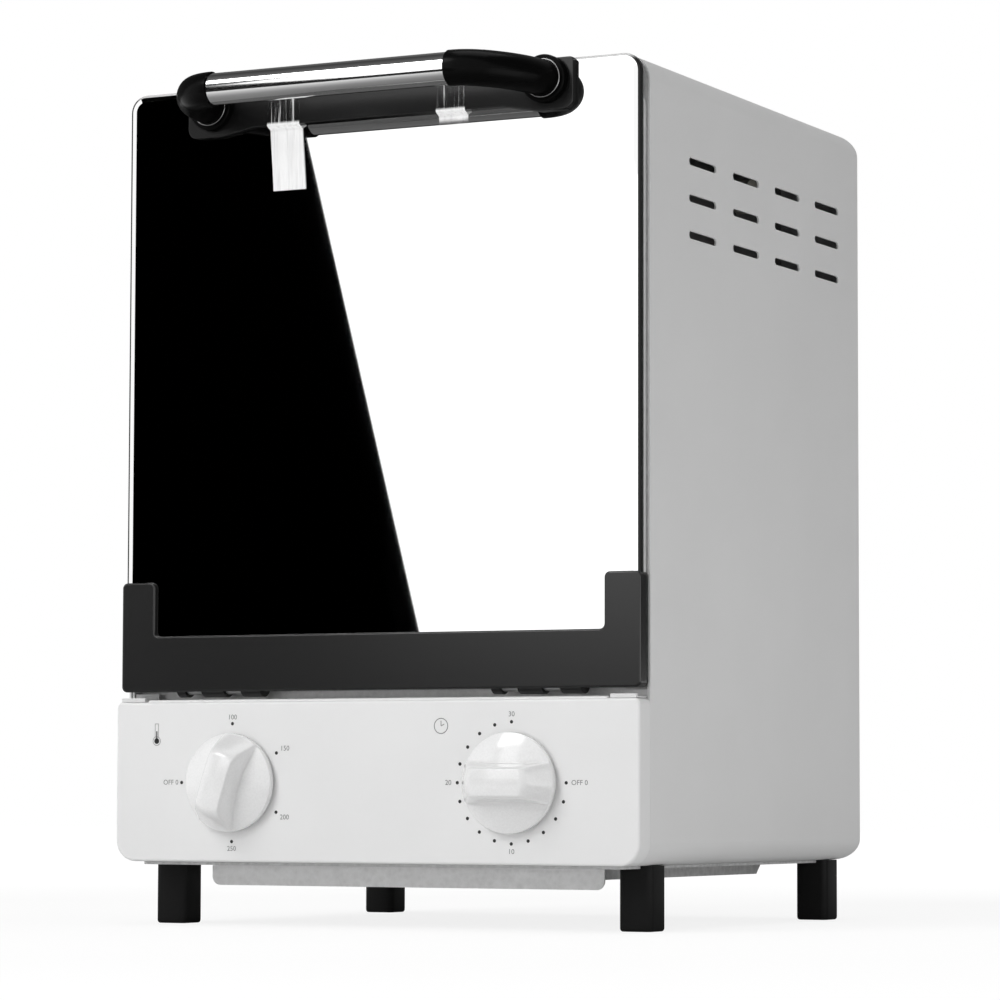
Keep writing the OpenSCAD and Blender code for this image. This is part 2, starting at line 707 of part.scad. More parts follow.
// Front view of the black bottom frame: a low middle between two raised ends
module bottom_frame_outline() {
  mid = frame_mid_h;
  r_ear = 2.2;
  intersection() {
    difference() {
      standing_rect(door_w, frame_ear_h, r_ear, r_ear);
      translate([0, mid]) standing_rect(door_w - 2 * frame_ear_w, frame_ear_h, 1, 2);
    }
    union() {
      for (s = [-1, 1]) translate([s * (door_w - frame_ear_w) / 2, 0])
        standing_rect(frame_ear_w, frame_ear_h, r_ear, r_ear);
      translate([-door_w / 2 + 3, 0]) square([door_w - 6, mid + 3]);
    }
  }
}

module door_bottom_frame() color("#2A2A2C") at_body() difference() {
  union() {
    along_y(frame_face, door_back) translate([0, door_z]) bottom_frame_outline();
    for (s = [-1, 1], k = door_knuckles)
      translate([s * hinge_x, pin_y, pin_z]) rod_x(knuckle_r, k[0], k[1]);
  }
  // Pocket for the glass, open at the back and the top
  along_y(glass_face - rest_gap, door_back + 1) translate([0, glass_z - rest_gap])
    standing_rect(glass_w + 2 * rest_gap, body_h, 1, 1);
  // Pocket for the steel frame
  along_y(glass_back, door_back + 1) translate([0, steel_z - rest_gap])
    standing_rect(glass_w + 2 * rest_gap, body_h, 1, 1);
  for (s = [-1, 1]) translate([s * hinge_x, 0, 0]) {
    translate([0, pin_y, pin_z]) rod_x(pin_d / 2 + turn_gap, -hinge_half - 1, hinge_half + 1);
    for (e = body_ears) {
      translate([0, pin_y, pin_z]) rod_x(ear_r + 0.35, e[0] - slide_gap, e[1] + slide_gap);
      block([e[0] - slide_gap, pin_y - ear_web - 0.4, door_z - 1],
            [e[1] + slide_gap, door_back + 6, pin_z + ear_web + 0.4]);
    }
  }
  door_screw_places() rod_y(1.2 + turn_gap, glass_face, door_back + 1);
}

module door_screw_places()
  for (x = [-1, -0.33, 0.33, 1])
    translate([x * (door_w / 2 - frame_ear_w - 0.7), 0, steel_z + 2.3]) children();

module door_glass() color("#3A4046", 0.8) at_body() difference() {
  along_y(glass_face, glass_back) translate([0, glass_z])
    standing_rect(glass_w, body_h - glass_z, glass_corner_r, 1);
  for (s = [-1, 1])
    translate([handle_shift + s * elbow_x, 0, bar_z]) rod_y(3, glass_face - 1, glass_back + 1);
}

module door_steel_frame() color("#C7CACC") at_body() difference() {
  union() {
    along_y(door_back - steel_t, door_back) translate([0, steel_z])
      standing_rect(glass_w, steel_top - steel_z, 4, 1);
    difference() {
      along_y(glass_back + rest_gap, door_back) translate([0, steel_z])
        standing_rect(glass_w, steel_top - steel_z, 4, 1);
      along_y(glass_back, door_back + 1) translate([0, steel_z + steel_t])
        standing_rect(glass_w - 2 * steel_t, steel_top - steel_z - 2 * steel_t, 3.2, 0.5);
    }
  }
  along_y(glass_back, door_back + 1) translate([0, steel_z + steel_low_w])
    standing_rect(steel_win_w, steel_top - steel_z - steel_low_w - steel_w, 3, 3);
  door_screw_places() rod_y(1.4, glass_back, door_back + 1);
}

module door_seal() color("#8E2F27") at_body() difference() {
  z0 = cavity_z - seal_w;
  h = cavity_h + 2 * seal_w;
  along_y(door_back + rest_gap, door_back + seal_t) translate([0, z0])
    standing_rect(cavity_w + 2 * seal_w, h, 6, 6);
  along_y(door_back - 1, door_back + seal_t + 1) translate([0, z0 + seal_w])
    standing_rect(cavity_w, cavity_h, 3, 3);
}

module door_screws() color("#9FA1A3") at_body() door_screw_places() {
  rod_y(1.2, glass_face + 1.5, door_back + 0.2);
  rod_y(2.2, door_back + rest_gap, door_back + 1);
}

// Handle

elbow_x = bar_l / 2 + elbow_reach;
plug_l = 8;
plate_z = body_h - plate_h;
bar_z = plate_z + bar_rise;
plate_face = glass_face - plate_t;
// The elbow is two arcs in a row: a wide one from the plate and a tight one into the bar
wide_turn = 40;
leg_run = plate_face - collar_l * 0.4 + bar_out;
tight_r = (elbow_reach * sin(wide_turn) - leg_run * (1 - cos(wide_turn)))
        / (sin(wide_turn) * cos(wide_turn) - (1 - sin(wide_turn)) * (1 - cos(wide_turn)));
wide_r = (elbow_reach - tight_r * cos(wide_turn)) / (1 - cos(wide_turn));

pad_half = plate_w / 2 - pad_w;
raised_half = pad_half - pad_slope;

module handle_plate() color("#333436") at_handle() difference() {
  along_y(plate_face, glass_face - rest_gap) translate([0, plate_z]) difference() {
    standing_rect(plate_w, plate_h, 1.5, 4);
    polygon([[pad_half, -1], [pad_half, 0], [raised_half, plate_rise],
      [-raised_half, plate_rise], [-pad_half, 0], [-pad_half, -1]]);
  }
  for (s = [-1, 1]) translate([s * elbow_x, 0, bar_z]) rod_y(2.2, plate_face - 1, glass_face + 1);
}

module handle_bar() color("#DADCDE") at_handle() translate([0, -bar_out, bar_z]) difference() {
  rod_x(bar_d / 2, -bar_l / 2 + rest_gap, bar_l / 2 - rest_gap);
  rod_x(bar_d / 2 - 1, -bar_l / 2 - 1, bar_l / 2 + 1);
}

// Right-hand elbow: plug inside the bar, two arcs, end on the collar
module elbow(s) color("#1B1B1D") at_handle() mirror_if(s) translate([elbow_x, 0, bar_z]) {
  r = elbow_d / 2;
  y0 = -bar_out + leg_run;
  difference() {
    union() {
      translate([-wide_r, y0, 0]) rotate([0, 0, -wide_turn])
        rotate_extrude(angle = wide_turn) translate([wide_r, 0]) circle(r = r);
      translate([-elbow_reach, -bar_out + tight_r, 0]) rotate([0, 0, -90])
        rotate_extrude(angle = 90 - wide_turn) translate([tight_r, 0]) circle(r = r - 0.05);
      translate([-elbow_reach, -bar_out, 0]) rod_x(bar_d / 2 - 1 - 0.03, -plug_l, 0.5);
    }
    rod_y(2.2, -6, y0 + 1);
  }
}
module handle_elbow_left() elbow(-1);
module handle_elbow_right() elbow(1);

module collar(s) color("#222224") at_handle() translate([s * elbow_x, 0, bar_z]) difference() {
  rod_y(collar_d / 2, plate_face - collar_l, plate_face - rest_gap);
  rod_y(elbow_d / 2 + rest_gap, plate_face - collar_l - 1, plate_face - collar_l * 0.4 + rest_gap);
  rod_y(2.2, plate_face - collar_l - 1, plate_face + 1);
}
module handle_collar_left() collar(-1);
module handle_collar_right() collar(1);

module handle_bolts() color("#A9ABAD") at_handle()
  for (s = [-1, 1]) translate([s * elbow_x, 0, bar_z]) {
    rod_y(2, -5, glass_back + 1);
    rod_y(4.5, glass_back + rest_gap, glass_back + 0.9);
    rod_y(3.4, glass_back + 0.8, glass_back + 2.6);
  }

// Clear film left on the handle plate, hanging down over the glass
module film(x0, x1, z0) {
  t = 0.25;
  step_z = plate_z + plate_rise;
  block([x0, plate_face - t - 0.05, step_z - t - 0.05], [x1, plate_face - 0.05, plate_z + plate_h - 4]);
  block([x0, plate_face - t - 0.05, step_z - t - 0.05], [x1, glass_face - 0.05, step_z - 0.05]);
  block([x0, glass_face - t - 0.05, z0], [x1, glass_face - 0.05, step_z - 0.05]);
}

module film_strips() color("#F4F4F4", 0.5) at_body() {
  film(-48, -33.4, plate_z - 23);
  film(27.6, 40.2, plate_z - 26);
}

// Underside

module crumb_rail(s) color("#8E9092") at_body() mirror_if(s) {
  z1 = -plate_under - 2 * rest_gap;
  x1 = crumb_w / 2 - 0.2;
  y0 = crumb_y + 1.2;
  y1 = crumb_y + crumb_l + 2;
  intersection() {
    union() {
      block([x1 - rail_t, y0, z1 - rail_h], [x1, y1, z1]);
      block([x1 - rail_lip, y0, z1 - rail_h], [x1, y1, z1 - rail_h + rail_t]);
    }
    along_x(0, body_w) polygon([[y0, z1], [y0, z1 - rail_h], [y1 - 5, z1 - rail_h], [y1, z1]]);
  }
}
module crumb_rail_left() crumb_rail(-1);
module crumb_rail_right() crumb_rail(1);

module crumb_tray() color("#BFC1C2") at_body() {
  z1 = -plate_under - 2 * rest_gap;
  floor_z = z1 - rail_h + rail_t + 0.25;
  half = crumb_w / 2 - 0.2 - rail_t - slide_gap;
  y0 = crumb_y;
  y1 = crumb_y + crumb_l - 4;
  difference() {
    block([-half, y0, floor_z], [half, y1, z1 - 0.4]);
    block([-half + crumb_t, y0 + crumb_t, floor_z + crumb_t], [half - crumb_t, y1 - crumb_t, 0]);
  }
  along_y(y0 - crumb_t, y0 + 0.2) translate([0, z1 - 0.4 - crumb_front_h])
    standing_rect(crumb_w, crumb_front_h, 0.5, 3.6);
}

// Feet

module foot(x, y) color("#232325") at_body() translate([x, y, -foot_h]) {
  c = 0.9;
  h = foot_w / 2;
  side = [[-h, c], [-h + c, 0], [h - c, 0], [h, c], [h, foot_h - rest_gap / 2], [-h, foot_h - rest_gap / 2]];
  difference() {
    intersection() {
      linear_extrude(foot_h - rest_gap / 2) foot_outline(0);
      along_y(-foot_w, foot_w) polygon(side);
      along_x(-foot_w, foot_w) polygon(side);
    }
    translate([0, 0, -1]) cylinder(h = foot_h + 2, r = screw_r + 0.1);
    translate([0, 0, -1]) cylinder(h = foot_h - 7, r = head_r + 0.4);
  }
}
module foot_front_left() foot(-foot_x, foot_y[0]);
module foot_front_right() foot(foot_x, foot_y[0]);
module foot_rear_left() foot(-foot_x, foot_y[1]);
module foot_rear_right() foot(foot_x, foot_y[1]);

module foot_screws() color("#9A9C9E") at_body()
  for (x = [-foot_x, foot_x], y = foot_y) translate([x, y, 0]) {
    translate([0, 0, -8 - head_h]) cylinder(h = head_h - 0.1, r = head_r);
    translate([0, 0, -8 - eps - 0.1]) cylinder(h = 12, r = screw_r);
    translate([0, 0, sheet_t + rest_gap]) cylinder(h = 2.8, r = 3.4);
  }

casing();
back_panel();
base_plate();
front_frame();
control_panel();
control_bracket();
cavity_liner();
heat_shield();
tray_runner_left();
tray_runner_right();
upper_heater_front();
upper_heater_rear();
lower_heater_front();
lower_heater_rear();
heater_insulators();
thermostat_body();
thermostat_shaft();
sensor_tube();
timer_body();
timer_shaft();
timer_bell();
terminal_block();
thermal_cutout();
wiring();
cord_grommet();
hinge_bracket_left();
hinge_bracket_right();
hinge_pin_left();
hinge_pin_right();
door_stop_left();
door_stop_right();
door_bottom_frame();
door_glass();
door_steel_frame();
door_seal();
door_screws();
handle_plate();
handle_bar();
handle_elbow_left();
handle_elbow_right();
handle_collar_left();
handle_collar_right();
handle_bolts();
film_strips();
temperature_knob();
timer_knob();
wire_rack();
instrument_tray();
crumb_tray();
crumb_rail_left();
crumb_rail_right();
foot_front_left();
foot_front_right();
foot_rear_left();
foot_rear_right();
foot_screws();
casing_screws();
control_screws();
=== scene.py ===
"""Looks of the dry heat sterilizer: studio, camera, materials and the finely formed pieces."""
import json
import math

import bmesh
import bpy
import numpy as np
from mathutils import Matrix, Vector

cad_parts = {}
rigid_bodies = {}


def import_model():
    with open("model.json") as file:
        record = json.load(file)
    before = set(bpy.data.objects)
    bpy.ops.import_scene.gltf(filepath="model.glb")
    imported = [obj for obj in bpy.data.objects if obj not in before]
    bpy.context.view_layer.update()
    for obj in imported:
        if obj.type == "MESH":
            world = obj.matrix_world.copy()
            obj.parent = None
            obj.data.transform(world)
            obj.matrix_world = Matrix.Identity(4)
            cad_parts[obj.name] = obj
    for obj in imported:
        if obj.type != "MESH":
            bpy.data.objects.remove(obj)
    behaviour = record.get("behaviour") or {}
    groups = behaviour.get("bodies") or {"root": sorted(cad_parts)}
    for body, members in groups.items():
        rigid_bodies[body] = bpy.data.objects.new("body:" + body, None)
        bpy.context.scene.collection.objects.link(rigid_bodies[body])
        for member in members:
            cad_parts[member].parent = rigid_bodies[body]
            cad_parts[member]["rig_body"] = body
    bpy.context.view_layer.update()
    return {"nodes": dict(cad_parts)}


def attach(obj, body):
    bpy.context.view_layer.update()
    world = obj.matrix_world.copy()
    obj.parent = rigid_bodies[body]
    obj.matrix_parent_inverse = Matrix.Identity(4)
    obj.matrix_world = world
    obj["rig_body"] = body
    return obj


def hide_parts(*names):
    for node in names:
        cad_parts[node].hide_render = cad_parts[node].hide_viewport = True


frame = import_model()
MM = 0.001

# Places in the CAD are counted from the panel's face and the casing's underside
FRONT_Y = -91.0
FOOT_H = 25.0
BODY_W = 230.0
BODY_H = 308.0
PANEL_H = 63.0


def at(x, y, z):
    """A place counted from the casing's middle, panel face and underside, in metres in the row frame."""
    return Vector((x * MM, (y + FRONT_Y) * MM, (z + FOOT_H) * MM))


# Node helpers

def new_material(name):
    """A material with a Principled shader; returns the material, its node tree and the shader."""
    mat = bpy.data.materials.new(name)
    mat.use_nodes = True
    tree = mat.node_tree
    shader = tree.nodes["Principled BSDF"]
    return mat, tree, shader


def add(tree, kind, **values):
    """A node of that kind; keyword values set its properties."""
    node = tree.nodes.new(kind)
    for key, value in values.items():
        setattr(node, key, value)
    return node


def grain_group():
    """The noise that every finish here uses, over object coordinates in millimetres. It puts out its plain
    value, a colour between Dark and Light, a roughness between Smooth and Rough, and a bumped normal."""
    group = bpy.data.node_groups.new("surface_grain", "ShaderNodeTree")
    for label, kind, value in (
            ("Scale", "NodeSocketFloat", 1.0), ("Detail", "NodeSocketFloat", 3.0),
            ("Unevenness", "NodeSocketFloat", 0.5), ("Distortion", "NodeSocketFloat", 0.0),
            ("Stretch", "NodeSocketVector", (1, 1, 1)), ("Dark", "NodeSocketColor", (0, 0, 0, 1)),
            ("Light", "NodeSocketColor", (1, 1, 1, 1)), ("Smooth", "NodeSocketFloat", 0.3),
            ("Rough", "NodeSocketFloat", 0.5), ("Depth", "NodeSocketFloat", 0.0)):
        group.interface.new_socket(label, in_out="INPUT", socket_type=kind).default_value = value
    for label, kind in (("Value", "NodeSocketFloat"), ("Color", "NodeSocketColor"),
                        ("Roughness", "NodeSocketFloat"), ("Normal", "NodeSocketVector")):
        group.interface.new_socket(label, in_out="OUTPUT", socket_type=kind)
    given, out = add(group, "NodeGroupInput"), add(group, "NodeGroupOutput")
    coords = add(group, "ShaderNodeTexCoord")
    stretched = add(group, "ShaderNodeVectorMath", operation="MULTIPLY")
    group.links.new(coords.outputs["Object"], stretched.inputs[0])
    group.links.new(given.outputs["Stretch"], stretched.inputs[1])
    in_mm = add(group, "ShaderNodeVectorMath", operation="SCALE")
    in_mm.inputs["Scale"].default_value = 1000
    group.links.new(stretched.outputs["Vector"], in_mm.inputs[0])
    tex = add(group, "ShaderNodeTexNoise")
    group.links.new(in_mm.outputs["Vector"], tex.inputs["Vector"])
    for label, socket in (("Scale", "Scale"), ("Detail", "Detail"), ("Unevenness", "Roughness"),
                          ("Distortion", "Distortion")):
        group.links.new(given.outputs[label], tex.inputs[socket])
    spread = add(group, "ShaderNodeMapRange")
    spread.inputs["From Min"].default_value = 0.3
    spread.inputs["From Max"].default_value = 0.7
    group.links.new(tex.outputs["Fac"], spread.inputs["Value"])
    tint = add(group, "ShaderNodeMix", data_type="RGBA")
    group.links.new(spread.outputs["Result"], tint.inputs["Factor"])
    group.links.new(given.outputs["Dark"], tint.inputs["A"])
    group.links.new(given.outputs["Light"], tint.inputs["B"])
    skin = add(group, "ShaderNodeMix", data_type="FLOAT")
    group.links.new(tex.outputs["Fac"], skin.inputs["Factor"])
    group.links.new(given.outputs["Smooth"], skin.inputs["A"])
    group.links.new(given.outputs["Rough"], skin.inputs["B"])
    relief = add(group, "ShaderNodeBump")
    group.links.new(given.outputs["Depth"], relief.inputs["Distance"])
    group.links.new(tex.outputs["Fac"], relief.inputs["Height"])
    group.links.new(tex.outputs["Fac"], out.inputs["Value"])
    group.links.new(tint.outputs["Result"], out.inputs["Color"])
    group.links.new(skin.outputs["Result"], out.inputs["Roughness"])
    group.links.new(relief.outputs["Normal"], out.inputs["Normal"])
    return group


GRAIN = grain_group()


def grain(tree, scale, detail=3.0, unevenness=0.5, stretch=(1, 1, 1), distortion=0.0,
          dark=(0, 0, 0), light=(1, 1, 1), smooth=0.3, rough=0.5, depth_mm=0.0):
    """The shared grain placed in one material with its own values; returns the group node."""
    node = add(tree, "ShaderNodeGroup", node_tree=GRAIN)
    for label, value in (
            ("Scale", scale), ("Detail", detail), ("Unevenness", unevenness), ("Distortion", distortion),
            ("Stretch", stretch), ("Dark", (*dark, 1)), ("Light", (*light, 1)), ("Smooth", smooth),
            ("Rough", rough), ("Depth", depth_mm * MM)):
        node.inputs[label].default_value = value
    return node


def wire(tree, node, shader, *names):
    """Links the grain's outputs to the shader's inputs."""
    for name in names:
        tree.links.new(node.outputs[name], shader.inputs["Base Color" if name == "Color" else name])


def ramp(tree, fac, stops):
    """Colour ramp over fac; stops are (position, grey or colour)."""
    node = add(tree, "ShaderNodeValToRGB")
    elements = node.color_ramp.elements
    while len(elements) < len(stops):
        elements.new(0.5)
    for element, (pos, col) in zip(elements, stops):
        element.position = pos
        element.color = (col, col, col, 1) if isinstance(col, float) else (*col, 1)
    tree.links.new(fac, node.inputs["Fac"])
    return node.outputs["Color"]


def powder_paint(name, grey, rough=0.42, depth_mm=0.012, shine=0.5):
    """White or black powder coat: fine orange peel and a faint change of tone."""
    mat, tree, shader = new_material(name)
    tone = grain(tree, 0.02, 2.0, dark=[grey * 0.975] * 3, light=[grey] * 3)
    wire(tree, tone, shader, "Color")
    fine = grain(tree, 0.9, 2.0, smooth=rough - 0.05, rough=rough + 0.05, depth_mm=depth_mm)
    wire(tree, fine, shader, "Roughness", "Normal")
    shader.inputs["Specular IOR Level"].default_value = shine
    return mat


def sheet_metal(name, grey, rough, stretch, contrast=0.06, metallic=1.0):
    """Bare metal sheet with rolling lines along one axis."""
    mat, tree, shader = new_material(name)
    lines = grain(tree, 0.5, 4.0, 0.6, stretch, dark=[grey * (1 - contrast)] * 3, light=[grey] * 3,
                  smooth=rough * 0.8, rough=rough * 1.2, depth_mm=0.01)
    wire(tree, lines, shader, "Color", "Roughness", "Normal")
    shader.inputs["Metallic"].default_value = metallic
    return mat


def galvanised(name, dark, light, metallic=0.2):
    """Zinc-coated sheet: mottled spangle of cells and small specks."""
    mat, tree, shader = new_material(name)
    coords = add(tree, "ShaderNodeTexCoord")
    mapping = add(tree, "ShaderNodeMapping")
    mapping.inputs["Scale"].default_value = [1000, 1000, 1000]
    cells = add(tree, "ShaderNodeTexVoronoi")
    cells.inputs["Scale"].default_value = 0.35
    tree.links.new(coords.outputs["Object"], mapping.inputs["Vector"])
    tree.links.new(mapping.outputs["Vector"], cells.inputs["Vector"])
    mix = add(tree, "ShaderNodeMix", data_type="FLOAT")
    mix.inputs["Factor"].default_value = 0.6
    tree.links.new(cells.outputs["Distance"], mix.inputs["A"])
    specks = grain(tree, 0.7, 4.0, 0.7, smooth=0.4, rough=0.6, depth_mm=0.02)
    tree.links.new(specks.outputs["Value"], mix.inputs["B"])
    tree.links.new(ramp(tree, mix.outputs["Result"], [(0.25, dark), (0.7, light)]), shader.inputs["Base Color"])
    wire(tree, specks, shader, "Roughness", "Normal")
    shader.inputs["Metallic"].default_value = metallic
    return mat


def plastic(name, grey, rough, depth_mm=0.004, coat=0.0, shine=0.5):
    """Moulded plastic with a very fine skin."""
    mat, tree, shader = new_material(name)
    fine = grain(tree, 1.4, 2.0, dark=[grey * 0.94] * 3, light=[grey] * 3,
                 smooth=rough * 0.9, rough=rough * 1.1, depth_mm=depth_mm)
    wire(tree, fine, shader, "Color", "Roughness", "Normal")
    shader.inputs["Specular IOR Level"].default_value = shine
    shader.inputs["Coat Weight"].default_value = coat
    shader.inputs["Coat Roughness"].default_value = 0.08
    return mat


def chrome(name, grey=0.86, rough=0.08):
    """Bright metal with faint polishing marks along its length."""
    mat, tree, shader = new_material(name)
    marks = grain(tree, 0.25, 3.0, 0.6, (0.15, 1, 1), dark=[grey * 0.95] * 3, light=[grey] * 3,
                  smooth=rough * 0.7, rough=rough * 1.4)
    wire(tree, marks, shader, "Color", "Roughness")
    shader.inputs["Metallic"].default_value = 1.0
    return mat


def coloured(name, colour, rough, metallic=0.0):
    """A coloured inner piece with slight mottling."""
    mat, tree, shader = new_material(name)
    tone = grain(tree, 0.4, 3.0, dark=[0.82 * c for c in colour], light=colour,
                 smooth=rough * 0.85, rough=rough * 1.15, depth_mm=0.01)
    wire(tree, tone, shader, "Color", "Roughness", "Normal")
    shader.inputs["Metallic"].default_value = metallic
    return mat


WHITE_PAINT = powder_paint("white_powder_paint", 0.80)
PANEL_PAINT = powder_paint("panel_powder_paint", 0.86)
BLACK_PAINT = powder_paint("black_powder_paint", 0.006, 0.24, 0.005, 0.62)
GALVANISED = galvanised("galvanised_sheet", 0.48, 0.66)
BRIGHT_ZINC = galvanised("bright_zinc_sheet", 0.84, 1.0, 0.0)
STEEL = sheet_metal("stainless_sheet", 0.62, 0.32, (0.02, 1, 1))
LINER_STEEL = sheet_metal("liner_sheet", 0.5, 0.4, (1, 0.02, 1))
CHROME = chrome("bright_chrome")
DULL_CHROME = chrome("dull_chrome", 0.3, 0.22)
BLACK_PLASTIC = plastic("black_plastic", 0.003, 0.24, 0.003, 0.0, 0.05)
PLATE_PLASTIC = plastic("plate_plastic", 0.007, 0.2, 0.003, 0.0, 0.45)
FOOT_RUBBER = plastic("foot_rubber", 0.013, 0.42, 0.008, 0.0, 0.10)
KNOB_WHITE = plastic("knob_white", 0.93, 0.14, 0.001, 0.6)
SATIN_STEEL = sheet_metal("satin_steel", 0.82, 0.35, (0.02, 1, 1), 0.05, 0.25)
CERAMIC = coloured("ceramic", (0.78, 0.75, 0.66), 0.5)
BRASS = coloured("brass", (0.65, 0.48, 0.2), 0.3, 1.0)
COPPER = coloured("copper_tube", (0.6, 0.32, 0.18), 0.35, 1.0)
WIRE_RED = coloured("wire_sleeve", (0.45, 0.05, 0.03), 0.4)
SEAL = coloured("silicone_seal", (0.28, 0.035, 0.02), 0.6)


def mirror_glass(name, grey):
    """Dark mirror-coated glass: sharp reflection, a few faint wipe marks."""
    mat, tree, shader = new_material(name)
    wipe = grain(tree, 0.02, 3.0, 0.6, (1, 1, 0.25), dark=[grey * 0.96] * 3, light=[grey] * 3,
                 smooth=0.004, rough=0.02)
    wire(tree, wipe, shader, "Color", "Roughness")
    shader.inputs["Metallic"].default_value = 1.0
    return mat


MIRROR = mirror_glass("mirror_glass", 0.78)
BEVEL = mirror_glass("bevelled_mirror", 0.98)


def ground_rim(name):
    """The pane's ground and polished rim: nearly black at the sides, with painted light along the top, where
    its colour is made pale to stand in for light that enters there.
    """
    mat, tree, shader = new_material(name)
    coords = add(tree, "ShaderNodeTexCoord")
    split = add(tree, "ShaderNodeSeparateXYZ")
    tree.links.new(coords.outputs["Object"], split.inputs["Vector"])
    # Painted light: this mask turns the rim's colour pale over 2.6 mm just below the pane's top
    painted_top_light = add(tree, "ShaderNodeMapRange")
    painted_top_light.inputs["From Min"].default_value = (FOOT_H + BODY_H - 3.2) * MM
    painted_top_light.inputs["From Max"].default_value = (FOOT_H + BODY_H - 0.6) * MM
    tree.links.new(split.outputs["Z"], painted_top_light.inputs["Value"])
    blend = add(tree, "ShaderNodeMath", operation="MULTIPLY_ADD")
    skin = grain(tree, 0.5, 3.0, smooth=0.14, rough=0.24)
    tree.links.new(skin.outputs["Value"], blend.inputs[0])
    blend.inputs[1].default_value = 0.06
    tree.links.new(painted_top_light.outputs["Result"], blend.inputs[2])
    tree.links.new(ramp(tree, blend.outputs["Value"], [(0.0, 0.008), (0.35, 0.03), (1.0, 0.62)]),
                   shader.inputs["Base Color"])
    wire(tree, skin, shader, "Roughness")
    shader.inputs["Specular IOR Level"].default_value = 0.3
    return mat


def clear_film(name, foot):
    """Protective film: nearly clear with white upright streaks over the plate, milky where it bends over the
    plate's edge; foot is the share of that milkiness left on the glass below. Where it is milky it also glows
    faintly: painted light that stands in for the light the handle bar's shadow takes away."""
    mat, tree, shader = new_material(name)
    coords = add(tree, "ShaderNodeTexCoord")
    split = add(tree, "ShaderNodeSeparateXYZ")
    tree.links.new(coords.outputs["Object"], split.inputs["Vector"])
    fall = add(tree, "ShaderNodeMapRange")
    fall_starts, fall_ends = 297.0, 283.0
    fall.inputs["From Min"].default_value = (FOOT_H + fall_starts) * MM
    fall.inputs["From Max"].default_value = (FOOT_H + fall_ends) * MM
    tree.links.new(split.outputs["Z"], fall.inputs["Value"])
    streaks = grain(tree, 0.62, 3.0, 0.6, (1, 1, 0.05), 0.4, dark=(0.74,) * 3, light=(0.96,) * 3,
                    smooth=0.12, rough=0.3, depth_mm=0.12)
    wire(tree, streaks, shader, "Color", "Roughness", "Normal")
    value = streaks.outputs["Value"]
    milkiness_and_painted_glow = ramp(tree, fall.outputs["Result"], [(0.30, 0.0), (0.42, 1.0), (0.62, 1.0), (0.74, foot)])
    faint = ramp(tree, value, [(0.5, 0.0), (0.6, 0.05), (0.7, 0.65)])
    milky = ramp(tree, value, [(0.25, 0.86), (0.6, 0.98)])
    there = add(tree, "ShaderNodeMix", data_type="RGBA", blend_type="MULTIPLY")
    there.inputs["Factor"].default_value = 1.0
    tree.links.new(milkiness_and_painted_glow, there.inputs["A"])
    tree.links.new(milky, there.inputs["B"])
    upper = ramp(tree, fall.outputs["Result"], [(0.34, 1.0), (0.42, 0.0)])
    mix = add(tree, "ShaderNodeMix", data_type="RGBA")
    tree.links.new(upper, mix.inputs["Factor"])
    tree.links.new(there.outputs["Result"], mix.inputs["A"])
    tree.links.new(faint, mix.inputs["B"])
    tree.links.new(mix.outputs["Result"], shader.inputs["Alpha"])
    # Painted light: the milky parts glow with emission strength 0.22, though the film is no lamp
    tree.links.new(milkiness_and_painted_glow, shader.inputs["Emission Color"])
    shader.inputs["Emission Strength"].default_value = 0.22
    return mat


def ink(name, grey):
    """Screen-printed ink: slightly uneven density."""
    mat, tree, shader = new_material(name)
    density = grain(tree, 3.0, 2.0, dark=[grey * 0.85] * 3, light=[grey * 1.15] * 3, smooth=0.4, rough=0.55)
    wire(tree, density, shader, "Color", "Roughness")
    return mat


GLASS_RIM = ground_rim("glass_rim_painted_top_light")
GLASS_BACKING = powder_paint("glass_back_paint", 0.03, 0.3, 0.004)
FILM_MILKY = clear_film("milky_film", 0.97)
FILM_CLEAR = clear_film("clear_film", 0.06)
INK = ink("black_ink", 0.012)
FINE_INK = ink("grey_ink", 0.20)

